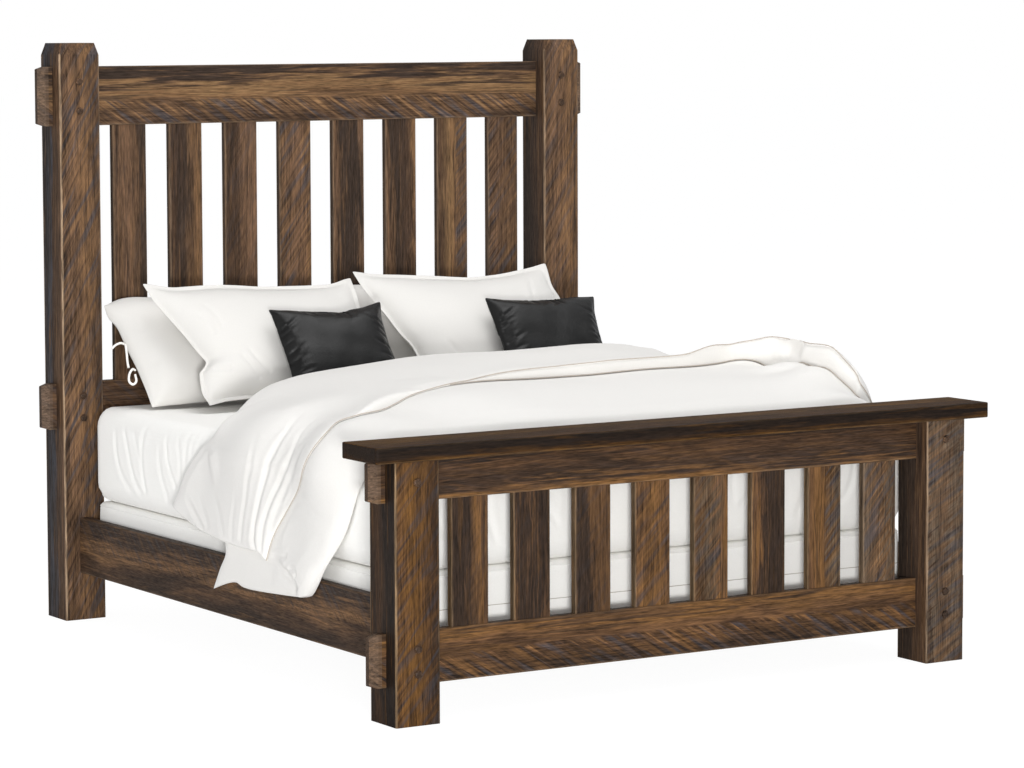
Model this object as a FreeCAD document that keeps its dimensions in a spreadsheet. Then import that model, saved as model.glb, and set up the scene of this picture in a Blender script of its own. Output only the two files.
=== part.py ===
"""King-size plank bed: square timber posts, through-tenoned plank rails, upright slats, bedding.

Frame: +Z up, +Y towards the headboard, +X to the right seen from the foot end.
Origin: on the floor, under the middle of the box that holds the whole bed.
"""
import FreeCAD, Part
import math
import os
import Sketcher

doc = FreeCAD.newDocument("plank_bed")
sheet = doc.addObject("Spreadsheet::Sheet", "sizes")

SIZES = (
    # Posts
    ("post_size", 149, "side of each square post"),
    ("post_ease", 3, "chamfer on the long edges of a post"),
    ("frame_side", 85, "outer face of a post beyond the side of the mattress"),
    ("frame_end", 25, "end of the mattress to the face of a post"),
    ("headboard_height", 1975, "floor to the top of a headboard post"),
    ("post_top_height", 41, "height of the tapered top of a headboard post"),
    ("post_top_inset", 11.5, "how far the tapered top draws in on each side"),
    # Plank rails with through tenons
    ("rail_thickness", 35, "thickness of the headboard and footboard rails"),
    ("rail_ease", 2.5, "chamfer on the long edges of a rail"),
    ("tenon_straight", 25, "straight part of a tenon outside its post"),
    ("tenon_taper", 28, "length of the tapered tip of a tenon"),
    ("tenon_inset", 8, "how far the tapered tip draws in on each side"),
    ("tenon_clearance", 0.2, "gap between a tenon and its mortise"),
    ("head_top_bottom", 1693, "underside of the headboard top rail"),
    ("head_top_height", 202, "height of the headboard top rail"),
    ("head_low_bottom", 655, "underside of the headboard bottom rail"),
    ("head_low_height", 158, "height of the headboard bottom rail"),
    ("foot_top_bottom", 650, "underside of the footboard top rail"),
    ("foot_top_height", 126, "height of the footboard top rail"),
    ("foot_low_bottom", 110, "underside of the footboard lower rail"),
    ("foot_low_height", 158, "height of the footboard lower rail"),
    # Upright slats
    ("slat_count", 8, "slats in the headboard, and in the footboard"),
    ("slat_width", 127, "width of a slat"),
    ("slat_end_gap", 78, "gap between the outermost slats and the posts"),
    ("slat_thickness", 24, "thickness of a slat"),
    ("slat_ease", 1.5, "chamfer on the long edges of a slat"),
    ("tongue_shoulder", 6, "shoulder round the tongue of a slat"),
    ("tongue_depth", 28, "depth of a tongue in its rail"),
    ("tongue_clearance", 0.2, "gap between a tongue and its slot"),
    # Pegs through the tenons
    ("peg_diameter", 25, "diameter of a peg"),
    ("peg_projection", 7, "how far a peg stands out of its post"),
    ("peg_dome", 4, "how far back from its end the nose of a peg is rounded"),
    ("peg_knee", 1.3, "how far in the bend of the rounding lies"),
    ("peg_length", 118, "whole length of a peg"),
    ("peg_clearance", 0.1, "gap between a peg and its hole"),
    ("head_top_peg_spacing", 100, "between the pegs of the headboard top rail"),
    ("head_low_peg_spacing", 76, "between the pegs of the headboard bottom rail"),
    ("foot_low_peg_spacing", 74, "between the pegs of the footboard lower rail"),
    # Footboard cap
    ("cap_thickness", 48, "thickness of the cap board"),
    ("cap_end_overhang", 78, "cap beyond the outer face of a post"),
    ("cap_side_overhang", 27, "cap beyond the front and back of a post"),
    ("cap_corner_radius", 10, "radius of the four cap corners"),
    ("cap_ease", 4, "rounding of the cap's top and bottom edges"),
    # Side rails
    ("side_rail_bottom", 162, "underside of a side rail"),
    ("side_rail_height", 191, "height of a side rail"),
    ("side_rail_thickness", 38, "thickness of a side rail"),
    ("side_rail_inset", 55, "post's outer face to the rail's outer face"),
    ("side_rail_round", 6, "rounding of the rail's long edges"),
    # Hook fittings between side rails and posts
    ("plate_width", 22, "width of the hook plates and catch plates"),
    ("plate_height", 130, "height of the hook plates and catch plates"),
    ("plate_thickness", 3, "thickness of the hook plates and catch plates"),
    ("plate_clearance", 0.1, "gap round a plate in its recess"),
    ("hook_thickness", 4, "thickness of a hook"),
    ("hook_spacing", 64, "between the two hooks of a plate"),
    ("hook_root", 16, "height of a hook at its root"),
    ("hook_drop", 9, "how far the lip of a hook hangs down"),
    ("hook_lip", 5, "thickness of the lip of a hook"),
    ("hook_clearance", 0.4, "gap between a hook and its catch plate"),
    ("catch_depth", 18, "depth of the space behind a catch plate"),
    # Cleats, cross slats and centre legs
    ("cleat_height", 38, "height of the cleat inside a side rail"),
    ("cleat_width", 25, "width of the cleat inside a side rail"),
    ("cleat_lift", 4, "cleat's underside above the side rail's underside"),
    ("cleat_end_gap", 40, "cleat's end to the end of its side rail"),
    ("cross_count", 4, "cross slats under the foundation"),
    ("cross_width", 89, "width of a cross slat"),
    ("cross_thickness", 19, "thickness of a cross slat"),
    ("cross_clearance", 3, "cross slat's end to the side rail"),
    ("cross_end_offset", 190, "first cross slat's middle to the post's face"),
    ("board_ease", 2, "chamfer on cleats, cross slats and legs"),
    ("leg_size", 45, "side of a square centre leg"),
    ("leg_offset", 322, "middle of a centre leg from the middle of the bed"),
    ("foot_height", 8, "height of a levelling foot's pad"),
    ("foot_diameter", 38, "diameter of a levelling foot's pad"),
    ("foot_edge", 2, "chamfer of a levelling foot's pad"),
    ("stem_diameter", 10, "diameter of a levelling foot's stem"),
    ("stem_length", 52, "length of a levelling foot's stem"),
    ("stem_clearance", 0.4, "gap round a stem in its leg"),
    ("foot_travel", 12, "how far a levelling foot screws up"),
    ("foot_show", 6, "gap left over the pad when it is screwed right up"),
    # Foundation and mattress
    ("soft_clearance", 0.3, "gap between soft pieces and their neighbours"),
    ("foundation_side", 17.5, "side of the mattress beyond the side of the foundation"),
    ("foundation_end", 13.5, "end of the mattress beyond the end of the foundation"),
    ("foundation_height", 189, "height of the foundation"),
    ("foundation_radius", 50, "radius of the foundation's corners"),
    ("foundation_seam", 74, "height of the foundation's side seam"),
    ("mattress_width", 1930, "width of the mattress"),
    ("mattress_length", 2032, "length of the mattress"),
    ("mattress_height", 325, "height of the mattress"),
    ("mattress_radius", 66, "radius of the mattress's corners"),
    ("welt", 10, "diameter of the welts along the seams"),
    # Duvet, turned back at the head
    ("duvet_head_gap", 591.5, "turned-back fold of the duvet to the mattress's head end"),
    ("duvet_foot_gap", 126.5, "foot edge of the duvet to the mattress's foot end"),
    ("duvet_layer", 22, "thickness of the duvet where it hangs"),
    ("duvet_flap", 20, "how far the turned-back flap stands out of the layer below it"),
    ("duvet_loft", 245, "highest point of the duvet above the mattress"),
    ("duvet_drop", 500, "how far the duvet hangs below the mattress top"),
    ("duvet_wave", 12, "depth of the hanging folds"),
    ("duvet_round", 60, "rounding of the duvet over the mattress edge"),
    # Pillows
    ("pillow_middle_gap", 2, "gap between a pillow and the middle of the bed"),
    ("back_pillow_side_gap", 3, "gap between a back pillow and its headboard post"),
    ("back_pillow_height", 500, "height of a back pillow"),
    ("back_pillow_thickness", 165, "thickness of a back pillow"),
    ("back_pillow_start", 300, "mattress's head end to where a back pillow is set down"),
    ("front_pillow_side_gap", 87, "front pillow's flange to the line of its headboard post"),
    ("front_pillow_height", 550, "height of a front pillow with its flange"),
    ("front_pillow_thickness", 160, "thickness of a front pillow"),
    ("front_pillow_start", 520, "mattress's head end to where a front pillow is set down"),
    ("pillow_lean", 40, "degrees that the pillows lean back"),
    ("pillow_draw", 16, "how far the sides of a pillow draw in"),
    ("flange_width", 38, "width of the flat flange of a front pillow"),
    ("flange_thickness", 6, "thickness of the flange of a front pillow"),
    ("lumbar_width", 455, "width of a lumbar cushion"),
    ("lumbar_height", 320, "height of a lumbar cushion"),
    ("lumbar_thickness", 95, "thickness of a lumbar cushion"),
    ("lumbar_left_side", 712, "middle of the left lumbar cushion to the mattress's left side"),
    ("lumbar_right_side", 347, "middle of the right lumbar cushion to the mattress's right side"),
    ("lumbar_start", 650, "mattress's head end to where a lumbar cushion is set down"),
    ("lumbar_lift", 62, "lower edge of a lumbar cushion above the mattress"),
    ("lumbar_lean", 35, "degrees that the lumbar cushions lean back"),
    # Modelling
    ("overrun", 5, "how far a cut runs past the face it opens"),
)

for row, (alias, value, note) in enumerate(SIZES, start=1):
    sheet.set(f"A{row}", note)
    sheet.set(f"B{row}", str(value))
    sheet.setAlias(f"B{row}", alias)
doc.recompute()

# Heights and places that several pieces share, as formulas of the sizes
OUTER_WIDTH = "(sizes.mattress_width + 2 * sizes.frame_side)"
INNER_LENGTH = "(sizes.mattress_length + 2 * sizes.frame_end)"
BED_DEPTH = f"({INNER_LENGTH} + 2 * sizes.post_size + sizes.cap_side_overhang)"
HEAD_Y = f"({BED_DEPTH} / 2 - sizes.post_size / 2)"
FOOT_Y = f"({HEAD_Y} - {INNER_LENGTH} - sizes.post_size)"
BED_Y = f"(({HEAD_Y} + {FOOT_Y}) / 2)"
POST_X = f"({OUTER_WIDTH} / 2 - sizes.post_size / 2)"
RAIL_X = f"({OUTER_WIDTH} / 2 - sizes.side_rail_inset - sizes.side_rail_thickness / 2)"
SLAT_ROW = f"({OUTER_WIDTH} - 2 * sizes.post_size - 2 * sizes.slat_end_gap - sizes.slat_width)"
SLAT_PITCH = f"({SLAT_ROW} / (sizes.slat_count - 1))"
FOOT_POST_HEIGHT = "(sizes.foot_top_bottom + sizes.foot_top_height)"
PLATE_Z = "(sizes.side_rail_bottom + sizes.side_rail_height / 2)"
CLEAT_TOP = "(sizes.side_rail_bottom + sizes.cleat_lift + sizes.cleat_height)"
FOUNDATION_Z = f"({CLEAT_TOP} + sizes.cross_thickness + sizes.soft_clearance)"
MATTRESS_Z = f"({FOUNDATION_Z} + sizes.foundation_height + sizes.soft_clearance)"

# An edge is straight along an axis when the sine of the angle between them is below this
STRAIGHT_LIMIT = 1e-6

nodes = {}


def size(name):
    """Returns a size from the sheet in millimetres."""
    return float(sheet.get(name))


def keep(item, label):
    """Labels a finished sub-part and lists it as a node."""
    item.Label = label
    nodes[label] = item
    return item


def place(item, across="0", along="0", height="0", turn=None):
    """Binds a sub-part's place to formulas, with an optional turn about Z in degrees."""
    for axis, formula in (("x", across), ("y", along), ("z", height)):
        item.setExpression(f".Placement.Base.{axis}", formula)
    if turn is not None:
        item.Placement.Rotation = FreeCAD.Rotation(FreeCAD.Vector(0, 0, 1), turn)


# Sketch helpers


def origin_plane(body, role):
    """Finds one of the body's own origin planes."""
    for feature in body.Origin.OriginFeatures:
        if feature.Role == role:
            return feature
    raise LookupError(role)


def new_sketch(body, name, role, lift=None):
    """Makes a sketch on an origin plane of the body, lifted along the plane's normal."""
    sketch = body.newObject("Sketcher::SketchObject", name)
    sketch.AttachmentSupport = [(origin_plane(body, role), "")]
    sketch.MapMode = "FlatFace"
    if lift is not None:
        sketch.setExpression(".AttachmentOffset.Base.z", lift)
    return sketch


def pin(sketch, geometry, point, seed, formulas):
    """Holds a point of the sketch at two formulas measured from the sketch's origin."""
    for kind, start, formula in zip(("DistanceX", "DistanceY"), seed, formulas):
        number = sketch.addConstraint(Sketcher.Constraint(kind, -1, 1, geometry, point, start))
        sketch.setExpression(f"Constraints[{number}]", formula)


def add_loop(sketch, corners):
    """Adds a closed loop of lines whose corners are pairs of formulas."""
    first = sketch.GeometryCount
    count = len(corners)
    turns = [2 * math.pi * index / count for index in range(count)]
    seeds = [(math.cos(turn) + first, math.sin(turn) + first) for turn in turns]
    for index in range(count):
        begin = FreeCAD.Vector(*seeds[index], 0)
        end = FreeCAD.Vector(*seeds[(index + 1) % count], 0)
        sketch.addGeometry(Part.LineSegment(begin, end), False)
    for index in range(count):
        after = first + (index + 1) % count
        sketch.addConstraint(Sketcher.Constraint("Coincident", first + index, 2, after, 1))
    for index, formulas in enumerate(corners):
        pin(sketch, first + index, 1, seeds[index], formulas)


def add_circle(sketch, centre, diameter):
    """Adds a circle whose centre is a pair of formulas."""
    number = sketch.GeometryCount
    sketch.addGeometry(Part.Circle(FreeCAD.Vector(number, 1, 0), FreeCAD.Vector(0, 0, 1), 1), False)
    pin(sketch, number, 3, (number, 1), centre)
    datum = sketch.addConstraint(Sketcher.Constraint("Diameter", number, 2))
    sketch.setExpression(f"Constraints[{datum}]", diameter)


def box_corners(left, right, low, high):
    """Corners of a rectangle."""
    return [(left, low), (right, low), (right, high), (left, high)]


def eased_corners(left, right, low, high, ease):
    """Corners of a rectangle with chamfered corners."""
    return [
        (f"{left} + {ease}", low),
        (f"{right} - {ease}", low),
        (right, f"{low} + {ease}"),
        (right, f"{high} - {ease}"),
        (f"{right} - {ease}", high),
        (f"{left} + {ease}", high),
        (left, f"{high} - {ease}"),
        (left, f"{low} + {ease}"),
    ]


# Feature helpers


def add_pad(body, sketch, name, length, both_ways=False, backwards=False):
    """Pads a sketch by a formula, one way or both ways from its plane."""
    pad = body.newObject("PartDesign::Pad", name)
    pad.Profile = sketch
    pad.Midplane = both_ways
    pad.Reversed = backwards
    pad.setExpression("Length", length)
    return pad


def add_pocket(body, sketch, name, length, both_ways=False, backwards=False):
    """Cuts a sketch into the body by a formula."""
    pocket = body.newObject("PartDesign::Pocket", name)
    pocket.Profile = sketch
    pocket.Midplane = both_ways
    pocket.Reversed = backwards
    pocket.setExpression("Length", length)
    return pocket


def add_loft(body, first, last, name):
    """Adds a straight-sided loft between two sketches."""
    loft = body.newObject("PartDesign::AdditiveLoft", name)
    loft.Profile = first
    loft.Sections = [last]
    loft.Ruled = True
    return loft


def edge_names(feature, wanted):
    """Names the edges of a feature that pass a test."""
    edges = enumerate(feature.Shape.Edges, start=1)
    return [f"Edge{number}" for number, edge in edges if wanted(edge)]


def runs_along(edge, axis):
    """Tells whether an edge is a straight one along an axis."""
    if edge.Curve.TypeId != "Part::GeomLine":
        return False
    return edge.Curve.Direction.cross(axis).Length < STRAIGHT_LIMIT


# Posts


def make_post(label, side, joints, along, height, taper, catch_faces_back):
    """Makes one post with its mortises, peg holes and the recess for a catch plate.

    The joints are tuples: lower edge and height of a rail, and formulas of the peg heights.
    """
    body = doc.addObject("PartDesign::Body", label)
    half = "sizes.post_size / 2"
    outline = eased_corners(f"-{half}", half, f"-{half}", half, "sizes.post_ease")
    section = new_sketch(body, f"{label}_section", "XY_Plane")
    add_loop(section, outline)
    shaft = f"{height} - sizes.post_top_height" if taper else height
    add_pad(body, section, f"{label}_shaft", shaft)
    if taper:
        shoulder = new_sketch(body, f"{label}_shoulder", "XY_Plane", shaft)
        add_loop(shoulder, outline)
        small = "(sizes.post_size / 2 - sizes.post_top_inset)"
        top = new_sketch(body, f"{label}_top", "XY_Plane", height)
        add_loop(top, eased_corners(f"-{small}", small, f"-{small}", small, "sizes.post_ease"))
        add_loft(body, shoulder, top, f"{label}_taper")
    mortises = new_sketch(body, f"{label}_mortises", "YZ_Plane")
    holes = new_sketch(body, f"{label}_holes", "XZ_Plane", half)
    cheek = "(sizes.rail_thickness / 2 + sizes.tenon_clearance)"
    for low, tall, pegs in joints:
        ceiling = f"{low} + {tall} + sizes.tenon_clearance"
        add_loop(mortises, box_corners(f"-{cheek}", cheek, low, ceiling))
        for peg in pegs:
            add_circle(holes, ("0", peg), "sizes.peg_diameter + 2 * sizes.peg_clearance")
    add_pocket(body, mortises, f"{label}_mortise_cut", "sizes.post_size + sizes.overrun", both_ways=True)
    blind = "sizes.peg_length - sizes.peg_projection + sizes.peg_clearance"
    add_pocket(body, holes, f"{label}_hole_cut", blind)
    add_catch_recess(body, label, side, catch_faces_back)
    place(body, f"{side} * {POST_X}", along)
    return keep(body, label)


def add_catch_recess(body, label, side, faces_back):
    """Cuts the recess for a catch plate and the two spaces behind it."""
    face = "-sizes.post_size / 2" if faces_back else "sizes.post_size / 2"
    middle = f"{side} * ({RAIL_X} - {POST_X})"
    wide = "(sizes.plate_width / 2 + sizes.plate_clearance)"
    tall = "(sizes.plate_height / 2 + sizes.plate_clearance)"
    recess = new_sketch(body, f"{label}_recess", "XZ_Plane", face)
    outline = box_corners(
        f"{middle} - {wide}", f"{middle} + {wide}", f"{PLATE_Z} - {tall}", f"{PLATE_Z} + {tall}"
    )
    add_loop(recess, outline)
    add_pocket(body, recess, f"{label}_recess_cut", "sizes.plate_thickness", backwards=faces_back)
    spaces = new_sketch(body, f"{label}_spaces", "XZ_Plane", face)
    narrow = "(sizes.hook_thickness / 2 + sizes.hook_clearance)"
    for sign in ("-", "+"):
        root = f"{PLATE_Z} {sign} sizes.hook_spacing / 2"
        below = f"{root} - sizes.hook_root / 2 - sizes.hook_drop - sizes.hook_clearance"
        above = f"{root} + sizes.hook_root / 2 + sizes.hook_drop + sizes.hook_clearance"
        add_loop(spaces, box_corners(f"{middle} - {narrow}", f"{middle} + {narrow}", below, above))
    add_pocket(body, spaces, f"{label}_space_cut", "sizes.catch_depth", backwards=faces_back)


def peg_heights(low, tall, spacing):
    """Heights of the pegs of a joint, one or two."""
    centre = f"{low} + {tall} / 2"
    if spacing is None:
        return [centre]
    return [f"{centre} - {spacing} / 2", f"{centre} + {spacing} / 2"]


def rail_joint(name, spacing):
    """Lower edge, height and peg heights of a named rail."""
    low = f"sizes.{name}_bottom"
    tall = f"sizes.{name}_height"
    return low, tall, peg_heights(low, tall, spacing)


HEAD_JOINTS = [
    rail_joint("head_top", "sizes.head_top_peg_spacing"),
    rail_joint("head_low", "sizes.head_low_peg_spacing"),
]
FOOT_JOINTS = [
    rail_joint("foot_top", None),
    rail_joint("foot_low", "sizes.foot_low_peg_spacing"),
]


# Plank rails


def make_plank_rail(label, joint, along, slots_on_top):
    """Makes a rail that runs through both posts, with tapered tenon ends and slots for the slats."""
    low, tall, pegs = joint
    body = doc.addObject("PartDesign::Body", label)
    half = "sizes.rail_thickness / 2"
    section = new_sketch(body, f"{label}_section", "YZ_Plane")
    outline = eased_corners(f"-{half}", half, "0", tall, "sizes.rail_ease")
    add_loop(section, outline)
    reach = f"({OUTER_WIDTH} / 2 + sizes.tenon_straight)"
    add_pad(body, section, f"{label}_board", f"2 * {reach}", both_ways=True)
    thin = "(sizes.rail_thickness / 2 - sizes.tenon_inset)"
    inset = "sizes.tenon_inset"
    tip = eased_corners(f"-{thin}", thin, inset, f"{tall} - {inset}", "sizes.rail_ease")
    for name, sign in (("left", "-"), ("right", "")):
        root = new_sketch(body, f"{label}_{name}_root", "YZ_Plane", f"{sign}{reach}")
        add_loop(root, outline)
        end = new_sketch(body, f"{label}_{name}_end", "YZ_Plane", f"{sign}({reach} + sizes.tenon_taper)")
        add_loop(end, tip)
        add_loft(body, root, end, f"{label}_{name}_tip")
    holes = new_sketch(body, f"{label}_holes", "XZ_Plane")
    for sign in ("-", ""):
        for peg in pegs:
            centre = (f"{sign}{POST_X}", f"{peg} - {low}")
            add_circle(holes, centre, "sizes.peg_diameter + 2 * sizes.peg_clearance")
    add_pocket(body, holes, f"{label}_hole_cut", "sizes.rail_thickness + sizes.overrun", both_ways=True)
    face = tall if slots_on_top else None
    slot = new_sketch(body, f"{label}_slot", "XY_Plane", face)
    first = f"-{SLAT_ROW} / 2"
    wide = "(sizes.slat_width / 2 - sizes.tongue_shoulder + sizes.tongue_clearance)"
    thick = "(sizes.slat_thickness / 2 - sizes.tongue_shoulder + sizes.tongue_clearance)"
    add_loop(slot, box_corners(f"{first} - {wide}", f"{first} + {wide}", f"-{thick}", thick))
    depth = "sizes.tongue_depth + sizes.tongue_clearance"
    cut = add_pocket(body, slot, f"{label}_slot_cut", depth, backwards=not slots_on_top)
    row = body.newObject("PartDesign::LinearPattern", f"{label}_slots")
    row.Originals = [cut]
    row.Direction = (slot, ["H_Axis"])
    row.setExpression("Length", SLAT_ROW)
    row.setExpression("Occurrences", "sizes.slat_count")
    body.Tip = row
    place(body, "0", along, low)
    return keep(body, label)


# Slats


def make_slats(prefix, low_rail, top_rail, along):
    """Makes a row of upright slats with a tongue at each end."""
    foot = f"(sizes.{low_rail}_bottom + sizes.{low_rail}_height)"
    span = f"(sizes.{top_rail}_bottom - {foot})"
    half_wide = "sizes.slat_width / 2"
    half_thick = "sizes.slat_thickness / 2"
    tongue_wide = "(sizes.slat_width / 2 - sizes.tongue_shoulder)"
    tongue_thick = "(sizes.slat_thickness / 2 - sizes.tongue_shoulder)"
    count = int(size("slat_count"))
    for number in range(count):
        label = f"{prefix}_slat_{number + 1}"
        body = doc.addObject("PartDesign::Body", label)
        board = new_sketch(body, f"{label}_section", "XY_Plane")
        corners = eased_corners(f"-{half_wide}", half_wide, f"-{half_thick}", half_thick, "sizes.slat_ease")
        add_loop(board, corners)
        add_pad(body, board, f"{label}_board", span)
        tongue = new_sketch(body, f"{label}_tongue", "XY_Plane", "-sizes.tongue_depth")
        add_loop(tongue, box_corners(f"-{tongue_wide}", tongue_wide, f"-{tongue_thick}", tongue_thick))
        add_pad(body, tongue, f"{label}_tongues", f"{span} + 2 * sizes.tongue_depth")
        steps = f"({number} - (sizes.slat_count - 1) / 2)"
        place(body, f"{steps} * {SLAT_PITCH}", along, foot)
        keep(body, label)


# Pegs


def make_peg(name, across, along, height):
    """Makes one round peg with a domed nose that looks towards the foot end."""
    body = doc.addObject("PartDesign::Body", name)
    profile = new_sketch(body, f"{name}_profile", "XY_Plane")
    radius = "sizes.peg_diameter / 2"
    tail = "sizes.peg_length - sizes.peg_projection"
    corners = [
        ("0", "-sizes.peg_projection"),
        (f"{radius} - sizes.peg_dome", "-sizes.peg_projection"),
        (f"{radius} - sizes.peg_knee", "-sizes.peg_projection + sizes.peg_knee"),
        (radius, "-sizes.peg_projection + sizes.peg_dome"),
        (radius, tail),
        ("0", tail),
    ]
    add_loop(profile, corners)
    turned = body.newObject("PartDesign::Revolution", f"{name}_turned")
    turned.Profile = profile
    turned.ReferenceAxis = (profile, ["V_Axis"])
    turned.Angle = 360
    place(body, across, f"{along} - sizes.post_size / 2", height)
    return body


def make_pegs(label, joints, along):
    """Makes the pegs of one end of the bed as one node."""
    pegs = []
    for side in (-1, 1):
        for joint in joints:
            for height in joint[2]:
                name = f"{label}_{len(pegs) + 1}"
                pegs.append(make_peg(name, f"{side} * {POST_X}", along, height))
    group = doc.addObject("Part::Compound", label)
    group.Links = pegs
    keep(group, label)


# Footboard cap


def make_cap():
    """Makes the board that lies over the footboard posts and their top rail."""
    body = doc.addObject("PartDesign::Body", "footboard_cap")
    outline = new_sketch(body, "cap_outline", "XY_Plane")
    long_half = f"({OUTER_WIDTH} / 2 + sizes.cap_end_overhang)"
    deep_half = "(sizes.post_size / 2 + sizes.cap_side_overhang)"
    add_loop(outline, box_corners(f"-{long_half}", long_half, f"-{deep_half}", deep_half))
    board = add_pad(body, outline, "cap_board", "sizes.cap_thickness")
    doc.recompute()
    upright = FreeCAD.Vector(0, 0, 1)
    corners = body.newObject("PartDesign::Fillet", "cap_corners")
    corners.Base = (board, edge_names(board, lambda edge: runs_along(edge, upright)))
    corners.setExpression("Radius", "sizes.cap_corner_radius")
    doc.recompute()
    rim = body.newObject("PartDesign::Fillet", "cap_rim")
    rim.Base = (corners, edge_names(corners, lambda edge: not runs_along(edge, upright)))
    rim.setExpression("Radius", "sizes.cap_ease")
    place(body, "0", FOOT_Y, FOOT_POST_HEIGHT)
    keep(body, "footboard_cap")


# Side rails and their fittings


def make_side_rail(label, side):
    """Makes a side rail with rounded long edges and a recess for a hook plate in each end."""
    body = doc.addObject("PartDesign::Body", label)
    section = new_sketch(body, f"{label}_section", "XZ_Plane")
    half = "sizes.side_rail_thickness / 2"
    add_loop(section, box_corners(f"-{half}", half, "0", "sizes.side_rail_height"))
    board = add_pad(body, section, f"{label}_board", INNER_LENGTH, both_ways=True)
    doc.recompute()
    lengthways = FreeCAD.Vector(0, 1, 0)
    edges = body.newObject("PartDesign::Fillet", f"{label}_edges")
    edges.Base = (board, edge_names(board, lambda edge: runs_along(edge, lengthways)))
    edges.setExpression("Radius", "sizes.side_rail_round")
    wide = "(sizes.plate_width / 2 + sizes.plate_clearance)"
    tall = "(sizes.plate_height / 2 + sizes.plate_clearance)"
    middle = "sizes.side_rail_height / 2"
    for name, sign in (("foot", ""), ("head", "-")):
        recess = new_sketch(body, f"{label}_{name}_recess", "XZ_Plane", f"{sign}{INNER_LENGTH} / 2")
        add_loop(recess, box_corners(f"-{wide}", wide, f"{middle} - {tall}", f"{middle} + {tall}"))
        add_pocket(
            body, recess, f"{label}_{name}_recess_cut", "sizes.plate_thickness", backwards=name == "head"
        )
    place(body, f"{side} * {RAIL_X}", BED_Y, "sizes.side_rail_bottom")
    keep(body, label)


def make_hook_plate(name, side, turn, along):
    """Makes a plate with two downward hooks that reach through the catch plate."""
    body = doc.addObject("PartDesign::Body", name)
    plate = new_sketch(body, f"{name}_plate", "XZ_Plane", "-sizes.plate_thickness")
    wide = "sizes.plate_width / 2"
    tall = "sizes.plate_height / 2"
    add_loop(plate, box_corners(f"-{wide}", wide, f"-{tall}", tall))
    add_pad(body, plate, f"{name}_sheet", "sizes.plate_thickness")
    hooks = new_sketch(body, f"{name}_hooks", "YZ_Plane")
    neck = "-(sizes.plate_thickness + sizes.hook_clearance)"
    nose = f"({neck} - sizes.hook_lip)"
    for sign in ("-", ""):
        root = f"{sign}sizes.hook_spacing / 2"
        top = f"{root} + sizes.hook_root / 2"
        low = f"{root} - sizes.hook_root / 2"
        corners = [
            ("sizes.plate_thickness / 2", top),
            (nose, top),
            (nose, f"{low} - sizes.hook_drop"),
            (neck, f"{low} - sizes.hook_drop"),
            (neck, low),
            ("sizes.plate_thickness / 2", low),
        ]
        add_loop(hooks, corners)
    add_pad(body, hooks, f"{name}_hook_pair", "sizes.hook_thickness", both_ways=True)
    place(body, f"{side} * {RAIL_X}", along, PLATE_Z, turn)
    return body


def make_catch_plate(name, side, turn, along):
    """Makes the slotted plate that lies flush in a post."""
    body = doc.addObject("PartDesign::Body", name)
    plate = new_sketch(body, f"{name}_plate", "XZ_Plane")
    wide = "sizes.plate_width / 2"
    tall = "sizes.plate_height / 2"
    add_loop(plate, box_corners(f"-{wide}", wide, f"-{tall}", tall))
    narrow = "(sizes.hook_thickness / 2 + sizes.hook_clearance)"
    for sign in ("-", ""):
        root = f"{sign}sizes.hook_spacing / 2"
        low = f"{root} - sizes.hook_root / 2 - sizes.hook_clearance"
        top = f"{root} + sizes.hook_root / 2 + sizes.hook_drop + sizes.hook_clearance"
        add_loop(plate, box_corners(f"-{narrow}", narrow, low, top))
    add_pad(body, plate, f"{name}_sheet", "sizes.plate_thickness")
    place(body, f"{side} * {RAIL_X}", along, PLATE_Z, turn)
    return body


def make_fittings():
    """Makes the hook plates and the catch plates at the four rail ends."""
    foot_face = f"{BED_Y} - {INNER_LENGTH} / 2"
    head_face = f"{BED_Y} + {INNER_LENGTH} / 2"
    hooks = []
    catches = []
    for side in (-1, 1):
        for end, turn, face in (("foot", 0, foot_face), ("head", 180, head_face)):
            place_name = f"{end}_{'left' if side < 0 else 'right'}"
            hooks.append(make_hook_plate(f"hook_{place_name}", side, turn, face))
            catches.append(make_catch_plate(f"catch_{place_name}", side, turn, face))
    for label, pieces in (("rail_hook_plates", hooks), ("post_catch_plates", catches)):
        group = doc.addObject("Part::Compound", label)
        group.Links = pieces
        keep(group, label)


# Cleats, cross slats, centre legs and levelling feet


def make_cleat(label, side):
    """Makes the strip along the inside of a side rail that carries the cross slats."""
    body = doc.addObject("PartDesign::Body", label)
    section = new_sketch(body, f"{label}_section", "XZ_Plane")
    half = "sizes.cleat_width / 2"
    add_loop(section, eased_corners(f"-{half}", half, "0", "sizes.cleat_height", "sizes.board_ease"))
    add_pad(body, section, f"{label}_strip", f"{INNER_LENGTH} - 2 * sizes.cleat_end_gap", both_ways=True)
    across = f"{side} * ({RAIL_X} - sizes.side_rail_thickness / 2 - sizes.cleat_width / 2)"
    place(body, across, BED_Y, "sizes.side_rail_bottom + sizes.cleat_lift")
    keep(body, label)


def cross_place(number):
    """Place along the bed of a cross slat, counted from the foot end."""
    span = f"({INNER_LENGTH} - 2 * sizes.cross_end_offset)"
    return f"{BED_Y} - {span} / 2 + {number} * {span} / (sizes.cross_count - 1)"


# Cross slat, counted from the foot end, and side of the bed where each centre leg stands
LEG_PLACES = ((1, -1), (1, 1), (2, -1), (2, 1))


def make_cross_slat(number):
    """Makes a cross slat that lies on both cleats."""
    label = f"cross_slat_{number + 1}"
    body = doc.addObject("PartDesign::Body", label)
    section = new_sketch(body, f"{label}_section", "YZ_Plane")
    half = "sizes.cross_width / 2"
    add_loop(section, eased_corners(f"-{half}", half, "0", "sizes.cross_thickness", "sizes.board_ease"))
    half_length = f"({RAIL_X} - sizes.side_rail_thickness / 2 - sizes.cross_clearance)"
    add_pad(body, section, f"{label}_board", f"2 * {half_length}", both_ways=True)
    place(body, "0", cross_place(number), CLEAT_TOP)
    keep(body, label)


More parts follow.
